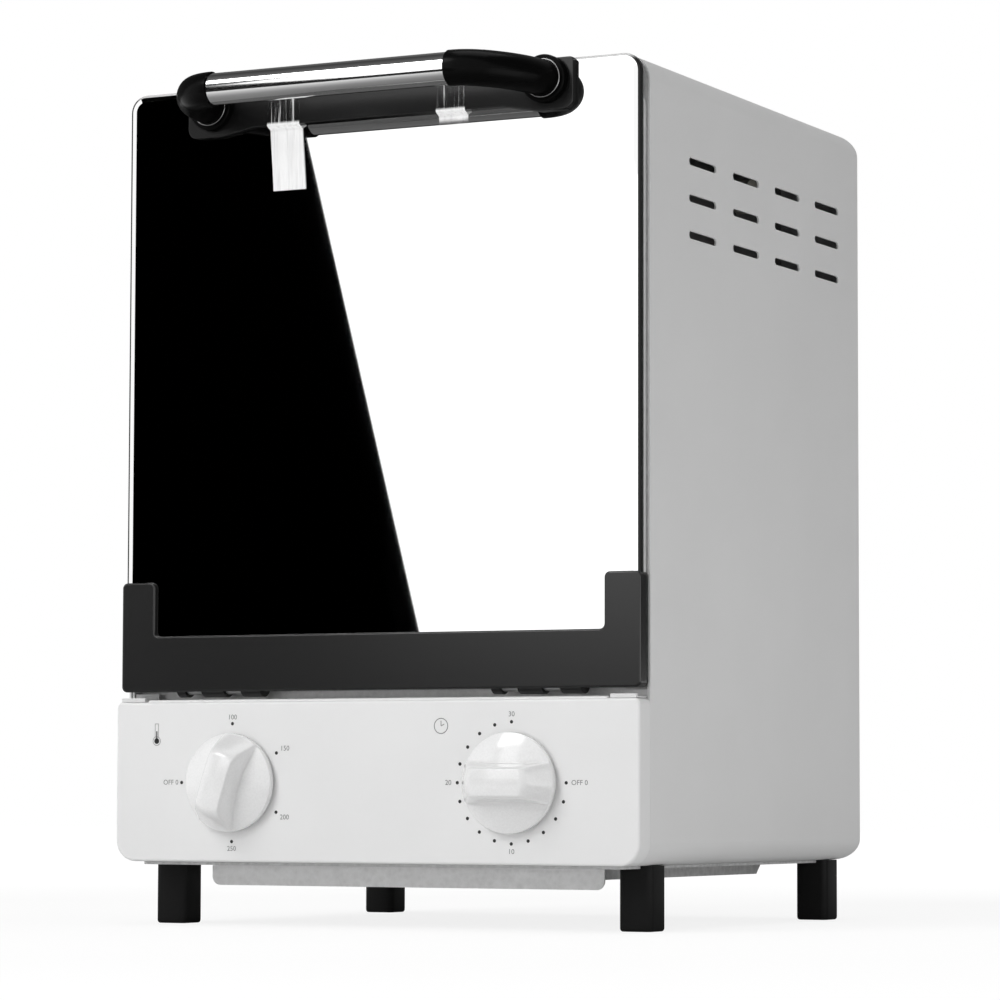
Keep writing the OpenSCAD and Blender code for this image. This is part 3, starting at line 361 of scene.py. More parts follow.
FINISH = {
    "casing": WHITE_PAINT, "back_panel": WHITE_PAINT, "control_panel": PANEL_PAINT,
    "base_plate": GALVANISED, "front_frame": BRIGHT_ZINC, "control_bracket": GALVANISED,
    "cavity_liner": LINER_STEEL, "heat_shield": GALVANISED, "tray_runner_left": LINER_STEEL,
    "tray_runner_right": LINER_STEEL, "upper_heater_front": STEEL, "upper_heater_rear": STEEL,
    "lower_heater_front": STEEL, "lower_heater_rear": STEEL, "heater_insulators": CERAMIC,
    "thermostat_body": CERAMIC, "thermostat_shaft": BRASS, "sensor_tube": COPPER,
    "timer_body": GALVANISED, "timer_shaft": BRASS, "timer_bell": CHROME, "terminal_block": CERAMIC,
    "thermal_cutout": BLACK_PLASTIC, "wiring": WIRE_RED, "cord_grommet": FOOT_RUBBER,
    "hinge_bracket_left": STEEL, "hinge_bracket_right": STEEL, "hinge_pin_left": CHROME,
    "hinge_pin_right": CHROME, "door_stop_left": SATIN_STEEL, "door_stop_right": SATIN_STEEL,
    "door_bottom_frame": BLACK_PAINT, "door_glass": MIRROR, "door_steel_frame": SATIN_STEEL,
    "door_seal": SEAL, "door_screws": CHROME, "handle_plate": PLATE_PLASTIC, "handle_bar": CHROME,
    "handle_elbow_left": BLACK_PLASTIC, "handle_elbow_right": BLACK_PLASTIC,
    "handle_collar_left": BLACK_PLASTIC, "handle_collar_right": BLACK_PLASTIC,
    "handle_bolts": CHROME, "film_strips": KNOB_WHITE, "temperature_knob": KNOB_WHITE,
    "timer_knob": KNOB_WHITE, "wire_rack": CHROME, "instrument_tray": STEEL,
    "crumb_tray": BRIGHT_ZINC, "crumb_rail_left": GALVANISED, "crumb_rail_right": GALVANISED,
    "foot_front_left": FOOT_RUBBER, "foot_front_right": FOOT_RUBBER, "foot_rear_left": FOOT_RUBBER,
    "foot_rear_right": FOOT_RUBBER, "foot_screws": CHROME, "casing_screws": CHROME,
    "control_screws": CHROME,
}


def dress(obj, mat):
    """Puts one material on every slot of a CAD node."""
    if not obj.material_slots:
        obj.data.materials.append(mat)
    for material_slot in obj.material_slots:
        material_slot.material = mat


for node_name, mat in FINISH.items():
    dress(frame["nodes"][node_name], mat)


# Surfaces

def place(points):
    """Millimetres from the casing's middle, panel face and underside, as metres in the row frame."""
    return (np.asarray(points, float) + (0.0, FRONT_Y, FOOT_H)) * MM


def grid_faces(rows, cols, first=0, wrap_cols=True, wrap_rows=False):
    """Four-cornered faces between neighbouring points of a rows by cols grid, wrapped round where asked."""
    i = np.arange(rows if wrap_rows else rows - 1)[:, None]
    j = np.arange(cols if wrap_cols else cols - 1)[None, :]
    i2, j2 = (i + 1) % rows, (j + 1) % cols
    corners = np.stack([i * cols + j, i * cols + j2, i2 * cols + j2, i2 * cols + j], -1)
    return (corners.reshape(-1, 4) + first).tolist()


def piece(name, points, faces, body, finishes, finish_of=None, stands_for=(), sharp=35.0, closed=True):
    """One piece from points in millimetres and faces; it rides on body and may stand for CAD nodes."""
    mesh = bpy.data.meshes.new(name)
    mesh.from_pydata(place(points).tolist(), [], faces)
    for finish in finishes:
        mesh.materials.append(finish)
    if finish_of is not None:
        mesh.polygons.foreach_set("material_index", np.asarray(finish_of, np.int32))
    if closed:
        form = bmesh.new()
        form.from_mesh(mesh)
        bmesh.ops.recalc_face_normals(form, faces=form.faces)
        form.to_mesh(mesh)
        form.free()
    mesh.polygons.foreach_set("use_smooth", np.ones(len(mesh.polygons), bool))
    mesh.update()
    mesh.set_sharp_from_angle(angle=math.radians(sharp))
    obj = bpy.data.objects.new(name, mesh)
    bpy.context.collection.objects.link(obj)
    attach(obj, body)
    if stands_for:
        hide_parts(*stands_for)
    return obj


def stacked(rings):
    """Rings of equally many points joined row by row; the open ends are closed with one face each."""
    count = len(rings[0])
    last = (len(rings) - 1) * count
    faces = grid_faces(len(rings), count)
    faces.append(list(range(count))[::-1])
    faces.append(list(range(last, last + count)))
    return np.concatenate(rings), faces


def joined(forms):
    """Several pairs of points and faces as one pair."""
    points, faces, count = [], [], 0
    for spots, shapes in forms:
        points.append(spots)
        faces += [[count + i for i in shape] for shape in shapes]
        count += len(spots)
    return np.concatenate(points), faces


def rounded_corners(corners, radii, steps):
    """Outline with each corner turned into an arc. Points and outward normals, counter-clockwise.
    An arc of radius r touches both sides r * tan(turn / 2) from the corner."""
    corners = np.asarray(corners, float)
    points, normals = [], []
    for before, here, after, r in zip(np.roll(corners, 1, 0), corners, np.roll(corners, -1, 0), radii):
        d1 = (here - before) / np.linalg.norm(here - before)
        d2 = (after - here) / np.linalg.norm(after - here)
        turn = math.atan2(d1[0] * d2[1] - d1[1] * d2[0], float(d1 @ d2))
        start = here - d1 * r * math.tan(abs(turn) / 2)
        n1 = np.array([d1[1], -d1[0]])
        sign = math.copysign(1.0, turn)
        centre = start - n1 * r * sign
        a = turn * np.linspace(0, 1, steps + 1)
        n = np.stack([n1[0] * np.cos(a) - n1[1] * np.sin(a), n1[0] * np.sin(a) + n1[1] * np.cos(a)], 1)
        points.append(centre + n * r * sign)
        normals.append(n)
    return np.concatenate(points), np.concatenate(normals)


def upright(outline, y):
    """An X-Z outline as a ring at depth y."""
    outline = np.asarray(outline, float)
    return np.stack([outline[:, 0], np.full(len(outline), float(y)), outline[:, 1]], 1)


def level(outline, z):
    """An X-Y outline as a ring at height z."""
    outline = np.asarray(outline, float)
    return np.stack([outline[:, 0], outline[:, 1], np.full(len(outline), float(z))], 1)


def soft_min(a, b, k):
    """The lower of two heights with the crease between them rounded over k."""
    h = np.maximum(k - np.abs(a - b), 0.0) / k
    return np.minimum(a, b) - h * h * k / 4


def soft_max(a, b, k):
    """The higher of two heights with the crease between them filled over k."""
    return -soft_min(-a, -b, k)


# Knobs

KNOB_X, KNOB_Z = 61.4, 31.2
KNOB_R, KNOB_H, SKIRT_H, DOME_H, GRIP_HALF, KNOB_GAP = 19.3, 15.0, 2.6, 7.5, 5.2, 0.8


def knob(name, middle_x, turn, body):
    """A knob as one height over its disc of points (u along the grip, v across it).
    Dome: skirt height + rise * (1 - (r/R)^2). Grip: the lowest of a nearly flat crown, a flank that falls
    1.6 per millimetre to the rim, and side walls that fall 4.5 per millimetre. Both are joined softly."""
    count = 288
    r = KNOB_R * np.concatenate([np.linspace(0.012, 0.93, 84), np.linspace(0.94, 0.985, 9)])[:, None]
    angle = np.linspace(0, 2 * math.pi, count, endpoint=False)[None, :]
    u, v = r * np.cos(angle), r * np.sin(angle)
    dome = SKIRT_H + (DOME_H - SKIRT_H) * (1 - (r / KNOB_R) ** 2) + 0 * v
    crown = KNOB_H - 0.006 * r ** 2 - 0.012 * v ** 2
    flank = SKIRT_H + 0.5 + 1.6 * (KNOB_R - r)
    wall = KNOB_H + (GRIP_HALF + 0.25 - 0.012 * np.abs(u) - np.abs(v)) * 4.5
    grip = soft_min(soft_min(crown, flank + 0 * v, 3.0), wall, 3.2)
    height = soft_max(dome, grip, 1.2)
    rows = [np.stack([u, v, height], -1)]
    ring_u, ring_v = np.cos(angle[0]), np.sin(angle[0])
    edge = height[-1]
    for inset, drop in ((0.13, 0.12), (0.03, 0.38), (0.0, 0.75)):
        rows.append(np.stack([(KNOB_R - inset) * ring_u, (KNOB_R - inset) * ring_v, edge - drop], -1)[None])
    for radius, h in ((KNOB_R, 0.35), (KNOB_R - 0.12, 0.1), (KNOB_R - 0.4, 0.0), (3.2, 0.0)):
        rows.append(np.stack([radius * ring_u, radius * ring_v, np.full(count, h)], -1)[None])
    local = np.concatenate(rows).reshape(-1, 3)
    c, s = math.cos(turn), math.sin(turn)
    points = np.stack([middle_x + local[:, 0] * s + local[:, 1] * c, -KNOB_GAP - local[:, 2],
                       KNOB_Z + local[:, 0] * c - local[:, 1] * s], 1)
    total = len(points) // count
    faces = grid_faces(total, count)
    faces.append(list(range(count))[::-1])
    faces.append(list(range(len(points) - count, len(points))))
    obj = piece(name + "_form", points, faces, body, [KNOB_WHITE], stands_for=(name,), sharp=70)


knob("temperature_knob", -KNOB_X, math.radians(18), "temperature_dial")
knob("timer_knob", KNOB_X, math.radians(90), "timer_dial")

# Print on the panel

PRINT_Y = -0.05
DOT_R, DOT_RING = 0.68, 23.1
BULB_X, BULB_Z = -96.2, 47.6
CLOCK_X, CLOCK_Z = 31.2, 52.9


def disc(x, z, r):
    """A filled round spot: one face through points on the circle."""
    count = 20
    a = np.linspace(0, 2 * math.pi, count, endpoint=False)
    return np.stack([x + r * np.cos(a), z + r * np.sin(a)], 1), [list(range(count))]


def hoop(x, z, r, width):
    """A thin ring between two circles."""
    count = 40
    a = np.linspace(0, 2 * math.pi, count, endpoint=False)
    inner, outer = r - width / 2, r + width / 2
    both = [np.stack([x + q * np.cos(a), z + q * np.sin(a)], 1) for q in (inner, outer)]
    return np.concatenate(both), grid_faces(2, count)


def stroke(x0, z0, x1, z1, width):
    """A straight line of even width."""
    along = np.array([x1 - x0, z1 - z0])
    side = np.array([-along[1], along[0]]) / np.linalg.norm(along) * width / 2
    a, b = np.array([x0, z0]), np.array([x1, z1])
    return np.stack([a - side, b - side, b + side, a + side]), [[0, 1, 2, 3]]


def digits(text, x, z, size, align="CENTER"):
    """Printed characters as a flat outline, made a mesh before it is placed."""
    curve = bpy.data.curves.new("characters", "FONT")
    curve.body = text
    curve.size = size
    curve.align_x = align
    curve.align_y = "CENTER"
    curve.resolution_u = 3
    carrier = bpy.data.objects.new("characters", curve)
    bpy.context.collection.objects.link(carrier)
    shape = carrier.evaluated_get(bpy.context.evaluated_depsgraph_get())
    mesh = bpy.data.meshes.new_from_object(shape)
    flat = np.empty(len(mesh.vertices) * 3)
    mesh.vertices.foreach_get("co", flat)
    faces = [list(face.vertices) for face in mesh.polygons]
    bpy.data.objects.remove(carrier)
    bpy.data.curves.remove(curve)
    bpy.data.meshes.remove(mesh)
    flat = flat.reshape(-1, 3)[:, :2]
    return flat + (x, z), faces


def printed(name, marks, mat):
    """All flat marks of one ink as a single piece just in front of the panel, facing forward."""
    points, faces = joined((upright(spots, PRINT_Y), shapes) for spots, shapes in marks)
    obj = piece(name, points, faces, "housing", [mat], closed=False)
    normals = np.empty(len(obj.data.polygons) * 3)
    obj.data.polygons.foreach_get("normal", normals)
    if normals.reshape(-1, 3)[:, 1].mean() > 0:
        obj.data.flip_normals()


def dots(middle_x, angles):
    """Scale dots on the ring round a knob."""
    return [disc(middle_x + DOT_RING * math.cos(math.radians(a)),
                 KNOB_Z + DOT_RING * math.sin(math.radians(a)), DOT_R) for a in angles]


bold = dots(-KNOB_X, (180, 90, 30, -30, -90)) + dots(KNOB_X, [-18 * i for i in range(16)])
bold += [disc(BULB_X, BULB_Z, 1.15), stroke(BULB_X, BULB_Z, BULB_X, 51.5, 0.55)]
printed("scale_dots", bold, INK)

SIZE = 2.75
LX, RX = -KNOB_X, KNOB_X
fine = [
    digits("OFF 0", LX - 24.6, KNOB_Z, SIZE, "RIGHT"), digits("100", LX, KNOB_Z + 25.6, SIZE),
    digits("150", LX + 23.8, KNOB_Z + 13.3, SIZE), digits("200", LX + 23.8, KNOB_Z - 13.5, SIZE),
    digits("250", LX, KNOB_Z - 25.9, SIZE),
    digits("30", RX, KNOB_Z + 26.0, SIZE), digits("20", RX - 27.0, KNOB_Z, SIZE),
    digits("10", RX, KNOB_Z - 26.1, SIZE), digits("OFF 0", RX + 25.2, KNOB_Z, SIZE, "LEFT"),
    hoop(BULB_X, BULB_Z, 1.7, 0.22), stroke(-96.95, 48.9, -96.95, 54.4, 0.2),
    stroke(-95.45, 48.9, -95.45, 54.4, 0.2), stroke(-96.95, 54.4, -95.45, 54.4, 0.2),
    hoop(CLOCK_X, CLOCK_Z, 2.9, 0.32), stroke(CLOCK_X, CLOCK_Z, CLOCK_X, 54.9, 0.28),
    stroke(CLOCK_X, CLOCK_Z, 32.6, 53.6, 0.28),
]
printed("scale_numbers", fine, FINE_INK)

# Door glass: bevelled mirror with a dark ground rim, painted pale along its top to stand in for light

GLASS_HALF, GLASS_Z0, GLASS_Z1, GLASS_FACE, GLASS_BACK = 113.4, 83.2, 308.0, 3.7, 6.9
glass_line, glass_out = rounded_corners(
    [(-GLASS_HALF, GLASS_Z0), (GLASS_HALF, GLASS_Z0), (GLASS_HALF, GLASS_Z1), (-GLASS_HALF, GLASS_Z1)],
    [4, 4, 7, 7], 10)
# Inset from the edge and depth: back, side, ground round, bevel, face
glass_profile = [(0.3, GLASS_BACK), (0.0, 6.6), (0.0, 4.7), (0.12, 4.35), (0.4, 4.1), (1.0, 3.9),
                 (2.8, GLASS_FACE)]
points, faces = stacked([upright(glass_line - glass_out * d, y) for d, y in glass_profile])
per_row = len(glass_line)
rows = len(glass_profile) - 1
finish_of = np.repeat([1 if row < 5 else 2 for row in range(rows)], per_row).tolist() + [3, 0]
glass = piece("door_glass_pane", points, faces, "door", [MIRROR, GLASS_RIM, BEVEL, GLASS_BACKING], finish_of,
              stands_for=("door_glass",), sharp=3)

# Film strips left over the handle plate and the glass

PLATE_FACE, STEP_Z, PLATE_TOP = 1.0, 290.8, 308.0


def film(x0, x1, z0, lean, seed):
    """A thin clear strip: on the plate above, over its lower edge, then on the glass, with upright waves
    of a few tenths of a millimetre that fade towards its foot."""
    across, down = 30, 72
    u = np.linspace(0, 1, across)[None, :]
    t = np.linspace(0, 1, down)[:, None]
    z = PLATE_TOP - 4 + (z0 - PLATE_TOP + 4) * t + 0 * u
    over = np.clip((STEP_Z - z) / 1.6, 0, 1)
    rest = PLATE_FACE + (GLASS_FACE - PLATE_FACE) * over * over * (3 - 2 * over)
    wave = np.sin(2 * math.pi * (3.1 * u + 0.13 * seed)) * np.sin(2 * math.pi * (1.7 * u + 0.4 * t + seed))
    ripple = 0.22 * wave * (0.35 + 0.65 * (1 - over))
    y = rest - 0.32 - np.abs(ripple) - 0.25 * over * (1 - over)
    edge = 0.12 * np.sin(9 * t + seed) * (1 - t)
    x = x0 + (x1 - x0) * u + edge + lean * over * np.clip((STEP_Z - z) / 25.0, 0, 1)
    front = np.stack([x, y, z], -1).reshape(-1, 3)
    back = front + (0, 0.09, 0)
    count = across * down
    faces = grid_faces(down, across, 0, wrap_cols=False)
    faces += [face[::-1] for face in grid_faces(down, across, count, wrap_cols=False)]
    ring = np.concatenate([np.arange(across), np.arange(1, down) * across + across - 1,
                           (down - 1) * across + np.arange(across - 2, -1, -1),
                           np.arange(down - 2, 0, -1) * across])
    nxt = np.roll(ring, -1)
    faces += np.stack([ring, ring + count, nxt + count, nxt], 1).tolist()
    return np.concatenate([front, back]), faces


strips = [film(-48.0, -33.4, 265.0, 1.6, 0.2), film(27.6, 40.2, 262.0, 0.9, 0.7)]
points, faces = joined(strips)
finish_of = np.repeat([0, 1], [len(shapes) for _, shapes in strips])
films = piece("film_strips_sheet", points, faces, "door", [FILM_MILKY, FILM_CLEAR], finish_of,
              stands_for=("film_strips",), sharp=60)

# Feet

FOOT_X, FOOT_YS, FOOT_HALF = 102.7, (28.8, 203.2), 7.0
FOOT_NODES = {(-1, 0): "foot_front_left", (1, 0): "foot_front_right",
              (-1, 1): "foot_rear_left", (1, 1): "foot_rear_right"}


def foot(name, x, y):
    """A square post with rounded corners and a rounded tread; the tread turns up into a screw hole."""
    h = FOOT_HALF
    line, out = rounded_corners([(-h, -h), (h, -h), (h, h), (-h, h)], [2.6] * 4, 6)
    line = line + (x, y)
    rings = [level(line - out * 0.05, -0.05)]
    for inset, z in ((0.0, -0.4), (0.0, -23.7), (0.12, -24.3), (0.45, -24.75), (0.95, -24.97), (1.5, -25.0)):
        rings.append(level(line - out * inset, z))
    a = np.arctan2(line[:, 1] - y, line[:, 0] - x)
    hole = np.stack([np.cos(a), np.sin(a)], 1)
    for r, z in ((4.3, -25.0), (3.95, -24.7), (3.95, -8.0)):
        rings.append(level(hole * r + (x, y), z))
    points, faces = stacked(rings)
    obj = piece(name + "_post", points, faces, "housing", [FOOT_RUBBER], stands_for=(name,), sharp=50)


for (side, row), node_name in FOOT_NODES.items():
    foot(node_name, side * FOOT_X, FOOT_YS[row])

# Bright rings where the handle's legs enter the collars

HANDLE_SHIFT, ELBOW_X, BAR_Z, COLLAR_FRONT = 1.0, 74.0, 299.8, -2.4


def leg_ring(name, x):
    """A round wire ring: a big circle in the X-Z plane with a small circle carried along it."""
    round_ring, round_wire = 72, 14
    big, small = 7.3, 0.35
    a = np.linspace(0, 2 * math.pi, round_ring, endpoint=False)[:, None]
    b = np.linspace(0, 2 * math.pi, round_wire, endpoint=False)[None, :]
    r = big + small * np.cos(b)
    y = COLLAR_FRONT - 0.2 + small * np.sin(b) + 0 * a
    points = np.stack([x + r * np.cos(a), y, BAR_Z + r * np.sin(a)], -1).reshape(-1, 3)
    faces = grid_faces(round_ring, round_wire, wrap_rows=True)
    obj = piece(name, points, faces, "door", [DULL_CHROME], sharp=80)


leg_ring("handle_leg_ring_left", HANDLE_SHIFT - ELBOW_X)
leg_ring("handle_leg_ring_right", HANDLE_SHIFT + ELBOW_X)

# Screw heads with a cross recess at the back

BACK_Y, HEAD_R = 221.0, 3.5


def screw(x, z):
    """A pan head: height 0.35 + 1.2 * (1 - (r/R)^3) over its disc, less a cross 0.9 deep whose arms end
    1.8 to 2.3 from the middle and 0.44 to 0.62 from their line; a plain shank behind it."""
    count = 64
    r = np.linspace(0.02, HEAD_R, 26)[:, None]
    a = np.linspace(0, 2 * math.pi, count, endpoint=False)[None, :]
    u, v = r * np.cos(a), r * np.sin(a)
    head = 0.35 + 1.2 * (1 - (r / HEAD_R) ** 3)
    arm = np.minimum(np.abs(u), np.abs(v))
    cross = np.clip((0.62 - arm) / 0.18, 0, 1) * np.clip((2.3 - r) / 0.5, 0, 1)
    h = head - 0.9 * cross
    rings = [np.stack([x + u, BACK_Y + 0.05 + h, z + v], -1)[i] for i in range(len(r))]
    unit = np.stack([np.cos(a[0]), np.sin(a[0])], 1)
    for radius, y in ((HEAD_R, BACK_Y + 0.1), (1.5, BACK_Y + 0.1), (1.5, BACK_Y - 6.6), (0.4, BACK_Y - 7.0)):
        rings.append(upright(unit * radius + (x, z), y))
    return stacked(rings)


points, faces = joined(screw(side * (BODY_W / 2 - 6.8), BODY_H * share)
                       for side in (-1, 1) for share in (0.08, 0.5, 0.92))
screws = piece("casing_screw_heads", points, faces, "housing", [CHROME],
               stands_for=("casing_screws",), sharp=40)


# Soft edges on folded and moulded parts; faces of more than LARGE_FACE square millimetres stay flat

LARGE_FACE = 60.0 * MM * MM


def soft_edges(node, width, chosen, segments=3, margin=0.0):
    """A merged copy of a CAD node whose chosen sharp edges get a rounded bevel; it stands for the node.
    chosen takes the two ends of each edge in millimetres and returns which edges to round. margin lays a
    band of that width round the front faces, in their plane, so that the bevel ends inside it."""
    source = frame["nodes"][node]
    mesh = source.data.copy()
    form = bmesh.new()
    form.from_mesh(mesh)
    bmesh.ops.remove_doubles(form, verts=form.verts, dist=2e-6)
    bmesh.ops.dissolve_limit(form, angle_limit=math.radians(0.5), verts=form.verts, edges=form.edges)
    if margin:
        front = [face for face in form.faces if face.normal.y < -0.999 and face.calc_area() > LARGE_FACE]
        bmesh.ops.inset_region(form, faces=front, thickness=margin * MM, depth=0.0, use_even_offset=True)
    layer = form.edges.layers.float.new("bevel_weight_edge")
    offset = Vector((0.0, FRONT_Y, FOOT_H))
    for edge in form.edges:
        if len(edge.link_faces) == 2 and edge.calc_face_angle(0) > math.radians(30):
            a, b = (end.co / MM - offset for end in edge.verts)
            if chosen(a, b):
                edge[layer] = 1.0
    form.to_mesh(mesh)
    form.free()
    obj = bpy.data.objects.new(node + "_soft_edges", mesh)
    bpy.context.collection.objects.link(obj)
    mesh.materials.clear()
    mesh.materials.append(FINISH[node])
    # No rounded corner may shade across a large face
    area = np.empty(len(mesh.polygons))
    mesh.polygons.foreach_get("area", area)
    mesh.polygons.foreach_set("use_smooth", area < LARGE_FACE)
    mesh.polygons.foreach_set("material_index", np.zeros(len(mesh.polygons), np.int32))
    mesh.set_sharp_from_angle(angle=math.radians(35))
    bevel = obj.modifiers.new("rounded", "BEVEL")
    bevel.limit_method = "WEIGHT"
    bevel.width = width * MM
    bevel.segments = segments
    bevel.harden_normals = True
    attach(obj, source["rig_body"])
    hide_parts(node)


def on_plane(axis, value):
    """Chooser for edges that lie in one plane."""
    slack = 0.02
    return lambda a, b: abs(a[axis] - value) < slack and abs(b[axis] - value) < slack


def panel_outline(a, b):
    """The panel's front edges, without the two shaft holes."""
    hole_reach = 8
    outside = all(math.hypot(a[0] - x, a[2] - KNOB_Z) > hole_reach for x in (-KNOB_X, KNOB_X))
    return outside and on_plane(1, 0.0)(a, b)


soft_edges("control_panel", 1.1, panel_outline, 4, margin=1.5)
soft_edges("door_bottom_frame", 0.8, on_plane(1, 2.1))
soft_edges("handle_plate", 0.7, on_plane(1, PLATE_FACE))
soft_edges("handle_collar_left", 0.7, on_plane(1, COLLAR_FRONT))
soft_edges("handle_collar_right", 0.7, on_plane(1, COLLAR_FRONT))


# Rolled lip along the panel's top edge

def rolled_lip():
    """A half-round bead: an arch 2.2 deep and 0.9 high carried along the panel, its ends rounded off by the
    same arch: height and half depth shrink with sqrt(1 - t^2) over the last 1.2 mm."""
    half, run, depth, rise = 101.5, 1.2, 2.2, 0.9
    t = 1 - np.linspace(0, 1, 7) ** 1.5
    ends = np.concatenate([-half + run * (1 - t), [0.0], half - run * (1 - t[::-1])])
    shrink = np.sqrt(np.clip(1 - np.concatenate([t, [0.0], t[::-1]]) ** 2, 0.02, 1))
    arch = np.linspace(0, math.pi, 15)
    rings = []
    for x, k in zip(ends, shrink):
        y = depth - depth / 2 * k * np.cos(arch)
        z = PANEL_H + rise * k * np.sin(arch)
        y = np.concatenate([y, y[[-1, 0]]])
        z = np.concatenate([z, [PANEL_H - 0.2] * 2])
        rings.append(np.stack([np.full(len(y), x), y, z], 1))
    points, faces = stacked(rings)
    obj = piece("panel_rolled_lip", points, faces, "housing", [PANEL_PAINT], sharp=50)


rolled_lip()

# Studio

def quad(name, corners, mat):
    """One flat stage sheet."""
    mesh = bpy.data.meshes.new(name)
    mesh.from_pydata([tuple(c) for c in corners], [], [tuple(range(len(corners)))])
    mesh.materials.append(mat)
    obj = bpy.data.objects.new(name, mesh)
    bpy.context.collection.objects.link(obj)
    return obj


def seen_directly(tree):
    """1 for rays from the camera, off glossy surfaces and through glass, which see the pale background."""
    path = add(tree, "ShaderNodeLightPath")
    glossy = add(tree, "ShaderNodeMath", operation="MAXIMUM")
    tree.links.new(path.outputs["Is Camera Ray"], glossy.inputs[0])
    tree.links.new(path.outputs["Is Glossy Ray"], glossy.inputs[1])
    clear = add(tree, "ShaderNodeMath", operation="MAXIMUM")
    tree.links.new(glossy.outputs["Value"], clear.inputs[0])
    tree.links.new(path.outputs["Is Transmission Ray"], clear.inputs[1])
    return clear.outputs["Value"], path


def once_mirrored(tree, path, colour):
    """The colour as shiny surfaces see it at their first bounce; a tenth of it after a second one."""
    again = add(tree, "ShaderNodeMath", operation="GREATER_THAN")
    again.inputs[1].default_value = 1.5
    tree.links.new(path.outputs["Glossy Depth"], again.inputs[0])
    dim = ramp(tree, again.outputs["Value"], [(0.0, 1.0), (1.0, 0.1)])
    both = add(tree, "ShaderNodeMix", data_type="RGBA", blend_type="MULTIPLY")
    both.inputs["Factor"].default_value = 1.0
    tree.links.new(colour, both.inputs["A"])
    tree.links.new(dim, both.inputs["B"])
    return both.outputs["Result"]


def pale_floor(name):
    """Matt white paper whose own glow lifts it to plain white where it is seen; it keeps a soft shadow."""
    mat = bpy.data.materials.new(name)
    mat.use_nodes = True
    tree = mat.node_tree
    tree.nodes.clear()
    out = add(tree, "ShaderNodeOutputMaterial")
    direct, path = seen_directly(tree)
    coords = add(tree, "ShaderNodeTexCoord")
    reach = add(tree, "ShaderNodeVectorMath", operation="LENGTH")
    tree.links.new(coords.outputs["Object"], reach.inputs[0])
    share = add(tree, "ShaderNodeMath", operation="MULTIPLY")
    tree.links.new(direct, share.inputs[0])
    tree.links.new(ramp(tree, reach.outputs["Value"], [(0.4, 0.8), (1.0, 1.0)]), share.inputs[1])
    # Painted shadow: shiny surfaces see the paper's glow darken towards the foot of the object, standing in for
    # its shadow there, and darken again after a second bounce
    mirrored = ramp(tree, reach.outputs["Value"], [(0.12, 0.03), (0.35, 0.16), (0.62, 0.62), (1.0, 1.0)])
    tint = add(tree, "ShaderNodeMix", data_type="RGBA")
    tint.inputs["A"].default_value = (1, 1, 1, 1)
    tree.links.new(path.outputs["Is Glossy Ray"], tint.inputs["Factor"])
    tree.links.new(once_mirrored(tree, path, mirrored), tint.inputs["B"])
    paper = add(tree, "ShaderNodeBsdfDiffuse")
    paper.inputs["Color"].default_value = (0.85, 0.85, 0.85, 1)
    glow = add(tree, "ShaderNodeEmission")
    tree.links.new(tint.outputs["Result"], glow.inputs["Color"])
    glow.inputs["Strength"].default_value = 1.05
    mix = add(tree, "ShaderNodeMixShader")
    tree.links.new(share.outputs["Value"], mix.inputs["Fac"])
    tree.links.new(paper.outputs["BSDF"], mix.inputs[1])
    tree.links.new(glow.outputs["Emission"], mix.inputs[2])
    tree.links.new(mix.outputs["Shader"], out.inputs["Surface"])
    return mat


quad("floor", [(-4, -4, 0), (4, -4, 0), (4, 4, 0), (-4, 4, 0)], pale_floor("pale_floor"))

WORLD_LEVEL = 0.335
world = bpy.data.worlds.new("studio")
bpy.context.scene.world = world
world.use_nodes = True
tree = world.node_tree
background = tree.nodes["Background"]
background.inputs["Strength"].default_value = 1.0
direct, path = seen_directly(tree)
# What shiny surfaces see: white in front up to about 53 degrees, a dark ceiling above and behind
coords = add(tree, "ShaderNodeTexCoord")
height = add(tree, "ShaderNodeVectorMath", operation="DOT_PRODUCT")
height.inputs[1].default_value = (0.0, 0.8, 0.6)
tree.links.new(coords.outputs["Generated"], height.inputs[0])
shiny = ramp(tree, height.outputs["Value"], [(0.0, 1.0), (0.03, 0.16), (0.7, 0.05), (1.0, 0.2)])
mirrored = add(tree, "ShaderNodeMix", data_type="RGBA")
mirrored.inputs["A"].default_value = (WORLD_LEVEL, WORLD_LEVEL, WORLD_LEVEL, 1)
tree.links.new(path.outputs["Is Glossy Ray"], mirrored.inputs["Factor"])
tree.links.new(once_mirrored(tree, path, shiny), mirrored.inputs["B"])
plain = add(tree, "ShaderNodeMath", operation="MAXIMUM")
tree.links.new(path.outputs["Is Camera Ray"], plain.inputs[0])
tree.links.new(path.outputs["Is Transmission Ray"], plain.inputs[1])
mix = add(tree, "ShaderNodeMix", data_type="RGBA")
mix.inputs["B"].default_value = (1, 1, 1, 1)
tree.links.new(plain.outputs["Value"], mix.inputs["Factor"])
tree.links.new(mirrored.outputs["Result"], mix.inputs["A"])
tree.links.new(mix.outputs["Result"], background.inputs["Color"])


def area_light(name, place, aim, size, power):
    """A soft rectangular light at place that points to aim, in metres and watts."""
    data = bpy.data.lights.new(name, "AREA")
    data.shape = "RECTANGLE"
    data.size, data.size_y = size
    data.energy = power
    obj = bpy.data.objects.new(name, data)
    bpy.context.collection.objects.link(obj)
    obj.location = place
    obj.visible_camera = False
    obj.rotation_mode = "QUATERNION"
    obj.rotation_quaternion = (Vector(aim) - Vector(place)).to_track_quat("-Z", "Y")
    return obj


